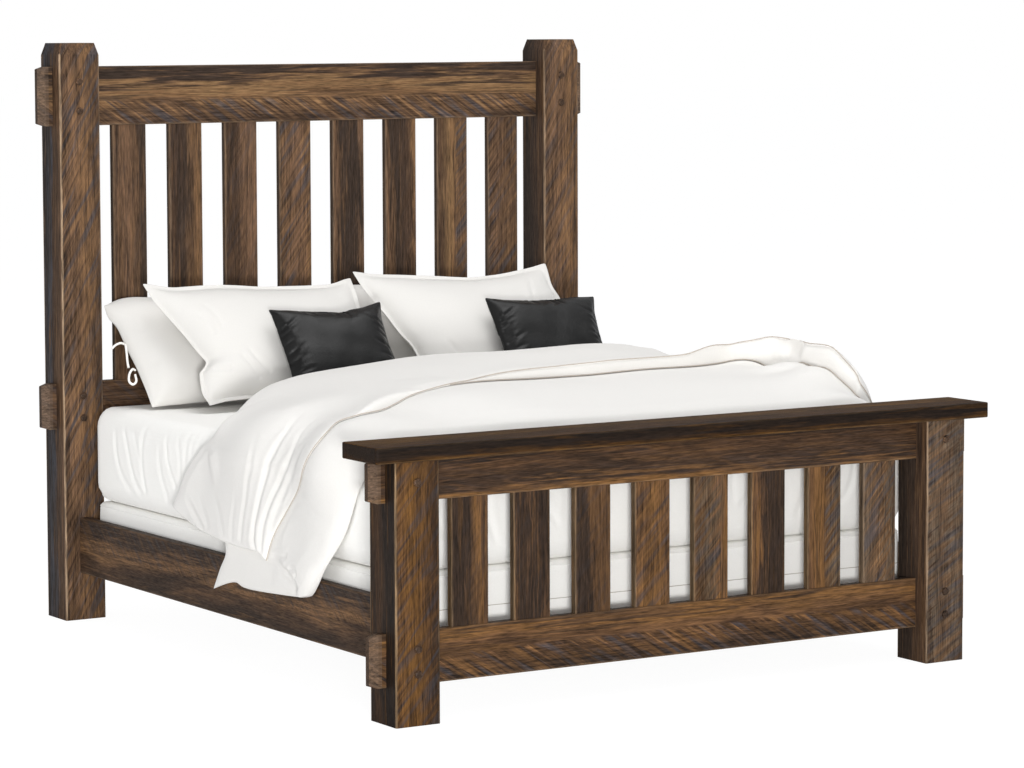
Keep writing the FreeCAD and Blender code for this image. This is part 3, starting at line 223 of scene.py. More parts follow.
@dataclass(frozen=True)
class Timber:
    """Rough-sawn brown maple, walnut stain under a dull oil finish.

    The eye sees broad bands of heartwood and sapwood along the grain, fine dark pores, slanting
    saw marks that the stain turns grey-blue, and pale rubbed edges.

    Attributes:
        bands: Tone name and hundredths of the width where it stands, from the low side to the high.
        kerf: The board's saw marks.
        lay: The way its grain and its width run.
        sides: Tone names and places across its narrow sides, partly their own tone and partly painted light:
            on the upright boards the darker side tones are painted shade on the sides turned from the lamps.
        cathedral: How strongly the pointed growth rings show.
        worn: How strongly the long edges are rubbed pale.
        gloss: Roughness of the oiled surface.
        depth: How light the stain came out, 1 for the usual tone.
        warmth: How strong its colour is, 1 for the usual strength.
        tip: Metres from the bed's middle where a tenon leaves its post and the stain is paler.
    """

    bands: str = "dark 0 brown 20 tan 60 umber 100"
    kerf: Kerf = Kerf()
    lay: Lay = Lay.UPRIGHT
    # The default side tones darken towards black: partly the wood's own tone, partly painted shade.
    sides: str = "brown 0 umber 30 dark 65 black 100"
    cathedral: float = 0.0
    worn: float = 0.2
    gloss: float = 0.6
    depth: float = 1.0
    warmth: float = 1.0
    tip: float | None = None

    # Width and length of each figure in metres. Real pores are 0.2 mm and are drawn wider to show.
    PORE = (2.2 * MM, 30 * MM)
    FIBRE = (5.72 * MM, 110 * MM)
    STREAK = (15 * MM, 320 * MM)
    PATCH = (60 * MM, 400 * MM)
    SAW_MARK = (11 * MM, 190 * MM)
    RING = 11 * MM
    RING_SWAY = (50 * MM, 300 * MM)
    RUBBED = 7 * MM
    RELIEF = 0.9 * MM
    STAIN = 0.79
    SHEEN = 0.12

    def scales(self, across: float, along: float) -> tuple[float, ...]:
        """Pattern scales for a feature of one width and one length, both in metres."""
        return tuple(1 / along if axis == self.lay.value[0] else 1 / across for axis in range(3))

    def figure(self, node: Callable, place: bpy.types.NodeSocket, seed: int) -> dict:
        """Add the board's patterns: pores, fibres, streaks, patches and the saw's marks and tint.

        Args:
            node: The function that adds nodes to the material.
            place: The socket of the place on the bed.
            seed: Number that gives the board a figure of its own.

        Returns:
            The socket of each pattern by its name, and of the moved place as "moved".
        """
        moved = node("VectorMath ADD", place, (1.7 * seed, 2.3 * seed, 3.1 * seed))
        # Saw marks run at one angle over a face, and each face of a board was sawn on its own.
        turn = math.radians(self.kerf.angle)
        run = (math.cos(turn), -math.cos(turn), math.sin(turn))
        rise = (-math.sin(turn), math.sin(turn), math.cos(turn))
        lines = [node("VectorMath DOT_PRODUCT", moved, line, out="Value") for line in (run, rise)]
        marks = node("CombineXYZ", *lines)
        step, length = self.SAW_MARK
        seen = {"moved": moved}
        for name, at, scales, detail, distortion in (
            ("pores", moved, self.scales(*self.PORE), 3.0, 0.0),
            ("fibres", moved, self.scales(*self.FIBRE), 2.0, 0.4),
            ("streaks", moved, self.scales(*self.STREAK), 4.0, 0.9),
            ("patches", moved, self.scales(*self.PATCH), 3.0, 0.6),
            ("saw", marks, (1 / length, 1 / step, 1.0), 3.0, 0.4),
            ("tint", marks, (0.9 / length, 0.55 / step, 1.0), 2.0, 0.4),
            ("sway", moved, self.scales(*self.RING_SWAY), 3.0, 0.0),
        ):
            spread = node("Mapping", inputs={"Vector": at, "Scale": scales})
            values = {"Vector": spread, "Scale": 1.0, "Detail": detail, "Distortion": distortion}
            seen[name] = node("TexNoise", inputs=values)
        return seen

    def material(self, name: str, low: Vector, high: Vector, seed: int) -> bpy.types.Material:
        """Build the board's material.

        Args:
            name: The board's name.
            low: The board's lowest corner.
            high: The board's highest corner.
            seed: Number that gives the board a figure of its own.

        Returns:
            The finished material.
        """
        material, node = new_material(f"sawn_maple_{name}")
        grain, width = self.lay.value
        thick = 3 - grain - width
        strength = self.kerf.strength
        coordinates = node("TexCoord", out=None)
        place = coordinates["Object"]
        parts = node("SeparateXYZ", place, out=None)
        facing = node("SeparateXYZ", coordinates["Normal"], out=None)
        seen = self.figure(node, place, seed)
        pores, fibres, streaks, patches = (seen[key] for key in ("pores", "fibres", "streaks", "patches"))

        # The saw marks keep to their part of the width, and to the board's broad faces.
        share = node("MapRange", parts[width], low[width], high[width])
        face = node("Math ABSOLUTE", facing[width])
        shown = node("MapRange", share, self.kerf.start - 0.03, self.kerf.start + 0.05)
        for value, start, end, first, last in (
            (share, self.kerf.end - 0.05, self.kerf.end + 0.03, 1.0, 0.0),
            (face, 0.2, 0.5, 1.0, 0.0),
            (patches, 0.36, 0.56, 0.55, 1.0),
        ):
            limit = node("MapRange", value, start, end, first, last)
            shown = node("Math MULTIPLY", shown, limit)

        # The bands wander with the grain, and less so where the saw marks cover it.
        broad = node("MapRange", streaks, 0.25, 0.75, -0.22, 0.22)
        wander = node("Math ADD", broad, node("MapRange", patches, 0.25, 0.75, -0.24, 0.24))
        sawn = node("Math MULTIPLY", node("MapRange", seen["saw"], 0.25, 0.75, -0.5, 0.5), shown)
        plain = node("MapRange", shown, 0.0, 1.0, 1.0, 1.0 - 0.65 * strength)
        wander = node("Math MULTIPLY_ADD", sawn, strength, node("Math MULTIPLY", wander, plain))
        faces = []
        for axis, bands in ((width, self.bands), (thick, self.sides)):
            words = bands.split()
            stops = tuple((int(at) / 100, linear(TONES[tone])) for tone, at in zip(words[::2], words[1::2]))
            across = node("MapRange", parts[axis], low[axis], high[axis])
            faces.append(node("ValToRGB", node("Math ADD", across, wander), stops=stops))
        # Each tint is a share and the tone that it brings.
        # The narrow sides take the side tones: partly their own tone, partly painted shade on the upright
        # boards' sides turned from the lamps, and a painted reflection on the footboard cap's top.
        tints = [(node("MapRange", face, 0.45, 0.6), faces[1])]
        for value, start, end, most, limit, tone in (
            (streaks, 0.52, 0.64, 0.75, plain, "dark"),
            (streaks, 0.44, 0.32, 0.4, plain, "gold"),
            (seen["tint"], 0.52, 0.62, 1.0, node("Math MULTIPLY", shown, 0.8 * strength), "slate"),
            (seen["tint"], 0.46, 0.36, 1.0, node("Math MULTIPLY", shown, 0.5 * strength), "gold"),
        ):
            reach = node("MapRange", value, start, end, 0.0, most)
            tints.append((node("Math MULTIPLY", reach, limit), tone))

        if self.cathedral:
            flat = [1.0, 1.0, 1.0]
            flat[grain] = 0.05
            centre = [-(low[axis] + high[axis]) / 2 * flat[axis] for axis in range(3)]
            centre[grain] -= 0.42 * (high[grain] - low[grain]) * flat[grain]
            ring_at = node("Mapping", inputs={"Vector": place, "Location": centre, "Scale": flat})
            bent = node("VectorMath MULTIPLY_ADD", seen["sway"], (0.03, 0.03, 0.03), ring_at)
            values = {"Vector": bent, "Scale": ONE_WAVE / self.RING, "Distortion": 2.0, "Detail": 3.0}
            rings = node("TexWave", inputs=values, out="Fac", wave_type="RINGS", rings_direction="SPHERICAL")
            broken = node("MapRange", patches, 0.4, 0.6, 0.2, 1.0)
            line = node("Math MULTIPLY", node("MapRange", rings, 0.78, 0.98), broken)
            tints.append((node("Math MULTIPLY", line, self.cathedral), "tan"))
        # A tenon's projecting end took less stain. The end faces are darker: partly end grain that drank
        # more stain, partly painted shade like that on the sides turned from the lamps.
        if self.tip:
            beyond = node("Math GREATER_THAN", node("Math ABSOLUTE", parts[0]), self.tip)
            tints.append((node("Math MULTIPLY", beyond, 0.7), "tenon"))
        ends = node("Math ABSOLUTE", facing[grain])
        tints.append((node("MapRange", ends, 0.8, 0.95, 0.0, 0.72), "dark"))
        if self.worn:
            near = []
            for axis in (width, thick):
                away = node("Math SUBTRACT", parts[axis], (low[axis] + high[axis]) / 2)
                away = node("Math ABSOLUTE", away)
                near.append(node("Math SUBTRACT", (high[axis] - low[axis]) / 2, away))
            ragged = node("Math SUBTRACT", fibres, 0.5)
            gap = node("Math MULTIPLY_ADD", ragged, 6 * MM, node("Math ADD", *near))
            rub = node("MapRange", gap, 0.35 * self.RUBBED, self.RUBBED, self.worn, 0.0)
            rub = node("Math MULTIPLY", rub, node("MapRange", share, 0.4, 0.6, 1.0, 0.35))
            tints.append((rub, "worn"))
        colour = faces[0]
        for reach, tone in tints:
            over = linear(TONES[tone]) if isinstance(tone, str) else tone
            colour = node("Mix", reach, inputs={6: colour, 7: over}, out=2, data_type="RGBA")

        # Light and dark within every band: pores, fibres and the saw's ridges.
        fine = node("MapRange", pores, 0.3, 0.7, 0.36, -0.36)
        light = node("Math ADD", fine, node("MapRange", fibres, 0.32, 0.68, 0.34, -0.34))
        ridged = node("MapRange", seen["saw"], 0.3, 0.7, -0.5, 0.5)
        ridged = node("Math MULTIPLY", ridged, node("Math MULTIPLY", shown, strength))
        light = node("Math ADD", light, ridged)
        light = node("Math ADD", light, node("MapRange", patches, 0.3, 0.7, 0.84, 1.16))
        light = node("Math MULTIPLY", light, self.depth * self.STAIN)
        values = {"Saturation": self.warmth, "Value": light, "Color": colour}
        colour = node("HueSaturation", inputs=values)

        relief = node("Math MULTIPLY", seen["saw"], node("Math MULTIPLY", shown, 0.9))
        relief = node("Math MULTIPLY_ADD", fibres, -0.4, relief)
        relief = node("Math MULTIPLY_ADD", pores, -0.5, relief)
        values = {"Strength": 1.0, "Distance": self.RELIEF, "Height": relief}
        roughness = node("MapRange", pores, 0.2, 0.8, self.gloss - 0.12, self.gloss + 0.14)
        finish_surface(node, colour, roughness, node("Bump", inputs=values), Specular_IOR_Level=self.SHEEN)
        return material


@dataclass(frozen=True)
class Finish:
    """A finish that several pieces share.

    Attributes:
        name: The material's name.
        colour: Its main colour.
        second: The colour that breaks it up.
    """

    name: str
    colour: str
    second: str

    def material(self) -> bpy.types.Material:
        """Build the material, once for each name.

        Returns:
            The finished material.
        """
        known = bpy.data.materials.get(self.name)
        if known:
            return known
        material, node = new_material(self.name)
        self.paint(node)
        return material

    def mixed(self, node: Callable, share: bpy.types.NodeSocket) -> bpy.types.NodeSocket:
        """Mix both colours by a share, and return the mixture's socket."""
        values = {6: linear(self.colour), 7: linear(self.second)}
        return node("Mix", share, inputs=values, out=2, data_type="RGBA")


@dataclass(frozen=True)
class Cloth(Finish):
    """Plain-woven washed cotton.

    The eye sees a soft matt white, a faint thread texture, and slight creases that washing leaves.

    Attributes:
        name: The material's name.
        colour: The cloth's own colour.
        second: The colour that the weave pattern and random slubs mix in: painted shade in the hollows of
            the weave, and random tone in the slubs.
        thread: Thread spacing in metres. Real spacing is 0.4 mm and is drawn coarser so that it shows.
        crease: Height of the washed-in creases in metres.
        weave: What the threads follow.
    """

    colour: str = "#f5f3ee"
    second: str = "#e3dfd8"
    thread: float = 1.5 * MM
    crease: float = 0.9 * MM
    weave: Weave = Weave.PLACE

    def paint(self, node: Callable) -> None:
        """Add the cloth's nodes.

        Args:
            node: The function that adds nodes to the material.
        """
        place = node("TexCoord", out=self.weave.value)
        threads = []
        for turn in (0.0, math.pi / 2):
            turned = node("Mapping", inputs={"Vector": place, "Rotation": (0.0, turn / 3, turn)})
            values = {"Vector": turned, "Scale": ONE_WAVE / self.thread, "Distortion": 0.5, "Detail": 1.0}
            threads.append(node("TexWave", inputs=values, out="Fac", bands_direction="X"))
        weave = node("Math ADD", *threads)
        slub = node("TexNoise", inputs={"Vector": place, "Scale": 190.0, "Detail": 2.0})
        values = {"Vector": place, "Scale": 16.0, "Detail": 3.0, "Distortion": 1.6}
        crumple = node("TexNoise", inputs=values)
        # The second colour, mixed in by the weave and by the slubs, is painted shade in the weave's hollows
        # and random tone in the slubs.
        tint = node("MapRange", slub, 0.3, 0.7, 0.0, 0.16)
        colour = self.mixed(node, node("Math MULTIPLY_ADD", weave, 0.05, tint))
        fine = node("Bump", inputs={"Strength": 0.25, "Distance": 0.15 * MM, "Height": weave})
        values = {"Strength": 0.5, "Distance": self.crease, "Height": crumple, "Normal": fine}
        normal = node("Bump", inputs=values)
        roughness = node("MapRange", slub, inputs={3: 0.78, 4: 0.92})
        finish_surface(node, colour, roughness, normal, Sheen_Weight=0.12, Specular_IOR_Level=0.2)


@dataclass(frozen=True)
class Leather(Finish):
    """Black full-grain cow hide, lightly waxed.

    The eye sees a charcoal surface with a soft broken gloss, pebbled grain and fine creases.

    Attributes:
        name: The material's name.
        colour: The hide's own colour.
        second: The paler colour on the tops of the grain.
        pebble: Grain size in metres. Real grain is 0.8 mm and is drawn coarser so that it shows.
    """

    name: str = "waxed_hide"
    colour: str = "#0b0b0a"
    second: str = "#1c1b1a"
    pebble: float = 2.4 * MM

    def paint(self, node: Callable) -> None:
        """Add the hide's nodes.

        Args:
            node: The function that adds nodes to the material.
        """
        place = node("TexCoord", out="UV")
        values = {"Vector": place, "Scale": 1 / self.pebble, "Randomness": 1.0}
        cells = node("TexVoronoi", inputs=values, out="Distance", feature="DISTANCE_TO_EDGE")
        cloud, lines = (
            node("TexNoise", inputs={"Vector": place, "Scale": scale, "Detail": detail, "Distortion": bend})
            for scale, detail, bend in ((14.0, 4.0, 0.8), (42.0, 3.0, 2.2))
        )
        high = node("MapRange", cells, 0.02, 0.3)
        rubbed = node("MapRange", cloud, 0.42, 0.7)
        colour = self.mixed(node, node("Math MULTIPLY", high, rubbed))
        creases = node("Bump", inputs={"Strength": 0.5, "Distance": 1.2 * MM, "Height": lines})
        values = {"Strength": 0.45, "Distance": 0.35 * MM, "Height": high, "Normal": creases}
        roughness = node("MapRange", cloud, 0.3, 0.7, 0.28, 0.46)
        finish_surface(node, colour, roughness, node("Bump", inputs=values), Specular_IOR_Level=0.3)


@dataclass(frozen=True)
class Steel(Finish):
    """Rolled and zinc-plated or blackened steel.

    The eye sees a soft grey metal with a faint rolling grain and darker blotches.

    Attributes:
        name: The material's name.
        colour: The metal's own colour.
        second: The colour of the plating's darker clouds.
        gloss: The metal's mean roughness.
    """

    name: str = "zinc_plated_steel"
    colour: str = "#b9babb"
    second: str = "#8f9194"
    gloss: float = 0.38

    def paint(self, node: Callable) -> None:
        """Add the metal's nodes.

        Args:
            node: The function that adds nodes to the material.
        """
        place = node("TexCoord", out="Object")
        cloud = node("TexNoise", inputs={"Vector": place, "Scale": 90.0, "Detail": 3.0})
        rolled = node("Mapping", inputs={"Vector": place, "Scale": (900.0, 900.0, 40.0)})
        lines = node("TexNoise", inputs={"Vector": rolled, "Scale": 1.0, "Detail": 2.0})
        normal = node("Bump", inputs={"Strength": 0.3, "Distance": 0.1 * MM, "Height": lines})
        roughness = node("MapRange", lines, inputs={3: self.gloss - 0.08, 4: self.gloss + 0.1})
        finish_surface(node, self.mixed(node, cloud), roughness, normal, Metallic=1.0)


def deselect() -> None:
    """Leave object mode with nothing selected."""
    if bpy.context.object and bpy.context.object.mode != "OBJECT":
        bpy.ops.object.mode_set(mode="OBJECT")
    bpy.ops.object.select_all(action="DESELECT")


def add_object(name: str, data: bpy.types.ID) -> bpy.types.Object:
    """Put a mesh, lamp, camera or curve in the scene under a name."""
    made = bpy.data.objects.new(name, data)
    bpy.context.scene.collection.objects.link(made)
    return made


def add_skin(name: str, points: np.ndarray, faces: list) -> bpy.types.Object:
    """Make a piece of points in metres and faces that number them."""
    mesh = bpy.data.meshes.new(name)
    mesh.from_pydata(points.tolist(), [], faces)
    return add_object(name, mesh)


def quads_of(grid: np.ndarray) -> np.ndarray:
    """Corners of the faces between a grid's neighbouring points, one row for each face."""
    corners = [grid[:-1, :-1], grid[:-1, 1:], grid[1:, 1:], grid[1:, :-1]]
    return np.stack(corners, -1).reshape(-1, 4)


def activate(piece: bpy.types.Object) -> None:
    """Make one piece the only selected and active object."""
    deselect()
    piece.select_set(True)
    bpy.context.view_layer.objects.active = piece


def apply_modifier(piece: bpy.types.Object, kind: str, **settings) -> None:
    """Add a modifier to a piece and apply it.

    Args:
        piece: The piece.
        kind: The modifier's type.
        settings: The modifier's properties.
    """
    activate(piece)
    modifier = piece.modifiers.new(kind.lower(), kind)
    for name, value in settings.items():
        setattr(modifier, name, value)
    bpy.ops.object.modifier_apply(modifier=modifier.name)


def points_of(piece: bpy.types.Object) -> np.ndarray:
    """Read a mesh's vertices.

    Args:
        piece: The mesh object.

    Returns:
        One row of coordinates in metres for each vertex.
    """
    flat = np.empty(len(piece.data.vertices) * 3)
    piece.data.vertices.foreach_get("co", flat)
    return flat.reshape(-1, 3)


def normals_of(piece: bpy.types.Object) -> np.ndarray:
    """Read a mesh's vertex normals, one row for each vertex."""
    flat = np.empty(len(piece.data.vertices) * 3)
    piece.data.vertex_normals.foreach_get("vector", flat)
    return flat.reshape(-1, 3)


def move_points(piece: bpy.types.Object, points: np.ndarray) -> None:
    """Write a mesh's vertices.

    Args:
        piece: The mesh object.
        points: One row of coordinates for each vertex.
    """
    piece.data.vertices.foreach_set("co", points.ravel())
    piece.data.update()


def smooth_faces(piece: bpy.types.Object) -> None:
    """Shade every face of a piece smooth."""
    piece.data.polygons.foreach_set("use_smooth", [True] * len(piece.data.polygons))
    piece.data.update()


def ease(value: np.ndarray, start: float, end: float) -> np.ndarray:
    """Rise smoothly from 0 at start to 1 at end.

    Args:
        value: The values to ease.
        start: Where the rise begins.
        end: Where it is complete. It may lie before start.

    Returns:
        The eased shares.
    """
    share = np.clip((value - start) / (end - start), 0, 1)
    return share * share * (3 - 2 * share)


def finish_piece(piece: bpy.types.Object, material: bpy.types.Material) -> bpy.types.Object:
    """Dress a finished piece and let it ride on the bed.

    Args:
        piece: The piece, in its place.
        material: Its finish.

    Returns:
        The same piece.
    """
    piece.data.materials.clear()
    piece.data.materials.append(material)
    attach(piece, BODY)
    LOG.info("%s: %d faces", piece.name, len(piece.data.polygons))
    return piece


def swell(
    piece: bpy.types.Object, cap: float, pinned: np.ndarray, pressure: float = 4.0, frames: int = 20
) -> None:
    """Fill a sewn piece with the cloth simulation, so that its skin pulls tight and creases.

    Args:
        piece: The closed piece.
        cap: The farthest that a point may move, in metres.
        pinned: Weight of each point that the simulation holds.
        pressure: Pressure of the filling.
        frames: How long the simulation runs.
    """
    before = points_of(piece)
    activate(piece)
    modifier = piece.modifiers.new("cloth", "CLOTH")
    cloth = modifier.settings
    cloth.quality = 4
    cloth.mass = 0.25
    cloth.tension_stiffness = 12
    cloth.compression_stiffness = 12
    cloth.bending_stiffness = 0.15
    cloth.use_pressure = True
    cloth.uniform_pressure_force = pressure
    cloth.effector_weights.gravity = 0
    modifier.collision_settings.use_collision = False
    group = piece.vertex_groups.new(name="sewn")
    for index, weight in enumerate(pinned):
        if weight > 0:
            group.add([index], float(weight), "REPLACE")
    cloth.vertex_group_mass = "sewn"
    modifier.point_cache.frame_start = 1
    modifier.point_cache.frame_end = frames
    for number in range(1, frames + 1):
        bpy.context.scene.frame_set(number)
    bpy.ops.object.modifier_apply(modifier=modifier.name)
    bpy.context.scene.frame_set(1)
    move = points_of(piece) - before
    length = np.linalg.norm(move, axis=1, keepdims=True)
    move_points(piece, before + move * np.minimum(1, cap / np.maximum(length, 1e-9)))


def tube(name: str, line: np.ndarray, radius: float, closed: bool = False) -> bpy.types.Object:
    """Make a piping cord or ribbon along a line, as a mesh.

    Args:
        name: The piece's name.
        line: Points of the line in metres.
        radius: The cord's radius in metres.
        closed: True where the line runs round.

    Returns:
        The mesh object.
    """
    curve = bpy.data.curves.new(name, "CURVE")
    curve.dimensions = "3D"
    curve.bevel_depth = radius
    curve.bevel_resolution = 2
    curve.use_fill_caps = True
    spline = curve.splines.new("POLY")
    spline.points.add(len(line) - 1)
    spline.points.foreach_set("co", np.c_[line, np.ones(len(line))].ravel())
    spline.use_cyclic_u = closed
    holder = add_object(name + "_line", curve)
    bpy.context.view_layer.update()
    mesh = bpy.data.meshes.new_from_object(holder.evaluated_get(bpy.context.evaluated_depsgraph_get()))
    bpy.data.objects.remove(holder)
    piece = add_object(name, mesh)
    smooth_faces(piece)
    return piece


def smooth_line(line: np.ndarray, steps: int) -> np.ndarray:
    """Run a smooth line through a few points.

    Args:
        line: The points.
        steps: How many points to put between two of them.

    Returns:
        The denser line.
    """
    padded = np.vstack([2 * line[0] - line[1], line, 2 * line[-1] - line[-2]])
    rows = []
    for i in range(1, len(padded) - 2):
        a, b, c, d = padded[i - 1 : i + 3]
        for t in np.linspace(0, 1, steps, endpoint=False):
            bent = (2 * a - 5 * b + 4 * c - d) * t**2 + (3 * b - a - 3 * c + d) * t**3
            rows.append(0.5 * (2 * b + (c - a) * t + bent))
    rows.append(padded[-2])
    return np.array(rows)


def run_of(line: np.ndarray) -> np.ndarray:
    """Distance along a line from its start to each of its points."""
    return np.r_[0, np.cumsum(np.linalg.norm(np.diff(line, axis=0), axis=1))]


@dataclass(frozen=True)
class Relief:
    """A smooth surface through a few known heights, bent like a thin plate.

    Attributes:
        known: Place across, place along and height of each, in millimetres.
        stretch: How much it may miss the known heights, to stay smooth.
    """

    known: tuple
    stretch: float = 1e-4

    def __call__(self, across: np.ndarray, along: np.ndarray) -> np.ndarray:
        """Find the heights at other places.

        Args:
            across: Places across, in millimetres.
            along: Places along, in millimetres.

        Returns:
            The heights in millimetres.
        """

        def bend(first: np.ndarray, second: np.ndarray) -> np.ndarray:
            """How each second place bends the plate at each first one."""
            gap = np.linalg.norm(first[:, None] - second[None], axis=2) + 1e-9
            return gap**2 * np.log(gap)

        known = np.array(self.known, dtype=float)
        places = known[:, :2] / 1000
        level = np.c_[np.ones(len(known)), places]
        stiff = bend(places, places) + self.stretch * np.eye(len(known))
        system = np.block([[stiff, level], [level.T, np.zeros((3, 3))]])
        weights = np.linalg.solve(system, np.r_[known[:, 2], np.zeros(3)])
        across, along = np.broadcast_arrays(across, along)
        asked = np.c_[across.ravel(), along.ravel()] / 1000
        heights = bend(asked, places) @ weights[:-3] + np.c_[np.ones(len(asked)), asked] @ weights[-3:]
        return heights.reshape(across.shape)


@dataclass(frozen=True)
class Crease:
    """A fold in cloth: a groove with a soft shoulder on both sides.

    Attributes:
        path: Its line, in millimetres.
        depth: Its greatest depth in millimetres.
        width: Half the groove's width in millimetres.
        fade: Shares of its length over which it starts and ends.
        shoulder: Height of the shoulders as a share of the depth.
    """

    path: tuple
    depth: float = 5.0
    width: float = 9.0
    fade: tuple = (0.3, 0.04)
    shoulder: float = 0.3

    def relief(self, across: np.ndarray, along: np.ndarray) -> np.ndarray:
        """Find how far the cloth rises above its smooth shape.

        Args:
            across: Places across, in millimetres.
            along: Places along, in millimetres.

        Returns:
            The rise in millimetres, below 0 in the groove.
        """
        line = smooth_line(np.array(self.path, dtype=float), 4)
        nearest = np.full(across.shape, 1e9)
        share = np.zeros(across.shape)
        for number, (start, step) in enumerate(zip(line[:-1], np.diff(line, axis=0))):
            part = ((across - start[0]) * step[0] + (along - start[1]) * step[1]) / (step @ step)
            part = np.clip(part, 0, 1)
            gap = np.hypot(across - start[0] - part * step[0], along - start[1] - part * step[1])
            nearer = gap < nearest
            nearest = np.where(nearer, gap, nearest)
            share = np.where(nearer, (number + part) / (len(line) - 1), share)
        groove = np.exp(-((nearest / self.width) ** 2))
        beside = np.exp(-(((nearest - 2 * self.width) / (1.1 * self.width)) ** 2))
        strength = self.depth * ease(share, 0, self.fade[0]) * ease(share, 1, 1 - self.fade[1])
        return strength * (self.shoulder * beside - groove)


@dataclass
class Studio:
    """Camera, lamps, floor and backdrop.

    Attributes:
        lens: Focal length in millimetres.
        sensor: Width of the sensor in millimetres.
        shift: The lens shift that frames the picture.
        target: The point that the lens axis goes through.
        distance: From the lens to that point, in metres.
        yaw: Degrees that the camera turns from +Y towards +X.
        pitch: Degrees that it looks down.
        roll: Degrees that it leans.
        lamps: Name, place, aim, size in metres and watts of each soft lamp.
        sky: Strength of the even light from all round.
        floor: Width of the floor in metres.
        whitening: Share of plain white in the floor that the camera sees, and its strength.
    """

    lens: float = 125.62
    sensor: float = 36.0
    shift: tuple = (0.0672, -0.0732)
    target: tuple = (-0.210617, -0.061, 1.107583)
    distance: float = 11.63738
    yaw: float = 31.1526
    pitch: float = 4.5535
    roll: float = -0.28626
    lamps: tuple = (
        ("top", (0.8, -0.4, 6.4), (0.2, 0.0, 0.7), 4.5, 205.0),
        ("front", (-5.9, -9.9, 2.2), (0.0, 0.0, 0.6), 3.6, 220.0),
        ("low", (-4.65, -8.7, 0.35), (0.0, -1.0, 0.35), 1.4, 680.0),
        ("fill", (-8.0, -0.5, 3.0), (0.0, 0.0, 0.6), 3.5, 35.0),
    )
    sky: float = 0.53
    floor: float = 160.0
    whitening: tuple = (0.88, 1.07)

    def build(self) -> None:
        """Set up the camera, the light and the floor."""
        self.add_camera()
        for name, place, aim, size, watts in self.lamps:
            lamp = bpy.data.lights.new(name, "AREA")
            lamp.size = size
            lamp.energy = watts
            holder = add_object(name, lamp)
            holder.location = place
            holder.rotation_euler = (Vector(aim) - Vector(place)).to_track_quat("-Z", "Y").to_euler()
        self.light_world()
        self.add_floor()
        bpy.context.scene.view_settings.view_transform = "Standard"

    def add_camera(self) -> None:
        """Create the camera at the photograph's viewpoint."""
        yaw, pitch, roll = (math.radians(a) for a in (self.yaw, self.pitch, self.roll))
        ahead = Vector((math.sin(yaw) * math.cos(pitch), math.cos(yaw) * math.cos(pitch), -math.sin(pitch)))
        right = Vector((math.cos(yaw), -math.sin(yaw), 0.0))
        up = right.cross(ahead)
        level = math.cos(roll) * right + math.sin(roll) * up
        upright = math.cos(roll) * up - math.sin(roll) * right
        data = bpy.data.cameras.new("camera")
        data.lens = self.lens
        data.sensor_width = self.sensor
        data.shift_x, data.shift_y = self.shift
        data.clip_end = 200.0
        camera = add_object("camera", data)
        turned = Matrix((level, upright, -ahead)).transposed().to_4x4()
        camera.matrix_world = Matrix.Translation(Vector(self.target) - ahead * self.distance) @ turned
        bpy.context.scene.camera = camera

    def light_world(self) -> None:
        """Give even light from all round and a white view behind the bed."""
        world = bpy.data.worlds.new("studio")
        world.use_nodes = True
        world.node_tree.nodes.clear()
        node = partial(add, world.node_tree)
        path = node("LightPath", out=None)
        seen = node("Math MAXIMUM", path["Is Camera Ray"], path["Is Transmission Ray"])
        even = node("Background", linear("#fbfcff"), self.sky)
        mixed = node("MixShader", seen, even, node("Background", WHITE, 1.0))
        node("OutputWorld", mixed, out=None)
        bpy.context.scene.world = world

    def add_floor(self) -> None:
        """Lay the pale floor, which keeps the bed's shadow."""
        deselect()
        bpy.ops.mesh.primitive_plane_add(size=self.floor)
        floor = bpy.context.object
        floor.name = "floor"
        material, node = new_material("pale_floor")
        share, strength = self.whitening
        seen = node("Math MULTIPLY", node("LightPath", out="Is Camera Ray"), share)
        place = node("TexCoord", out="Object")
        grit = node("TexNoise", inputs={"Vector": place, "Scale": 30.0, "Detail": 3.0})
        values = {6: linear("#fbfbfb"), 7: linear("#f4f4f4")}
        tint = node("Mix", grit, inputs=values, out=2, data_type="RGBA")
        matt = node("BsdfDiffuse", tint, 0.5)
        mixed = node("MixShader", seen, matt, node("Emission", WHITE, strength))
        node("OutputMaterial", mixed, out=None)
        floor.data.materials.append(material)


@dataclass(frozen=True)
class Board(Timber):
    """A stained board of the footboard, which came out warmer than the headboard.

    Attributes:
        sides: Tone names and places across its narrow sides.
        warmth: How strong its colour is, 1 for the headboard's strength.
    """

    sides: str = "worn_grey 0 worn_grey 100"
    warmth: float = 1.12


TIP = 1.064
LEVEL, DEEP = Lay.LEVEL, Lay.DEEP
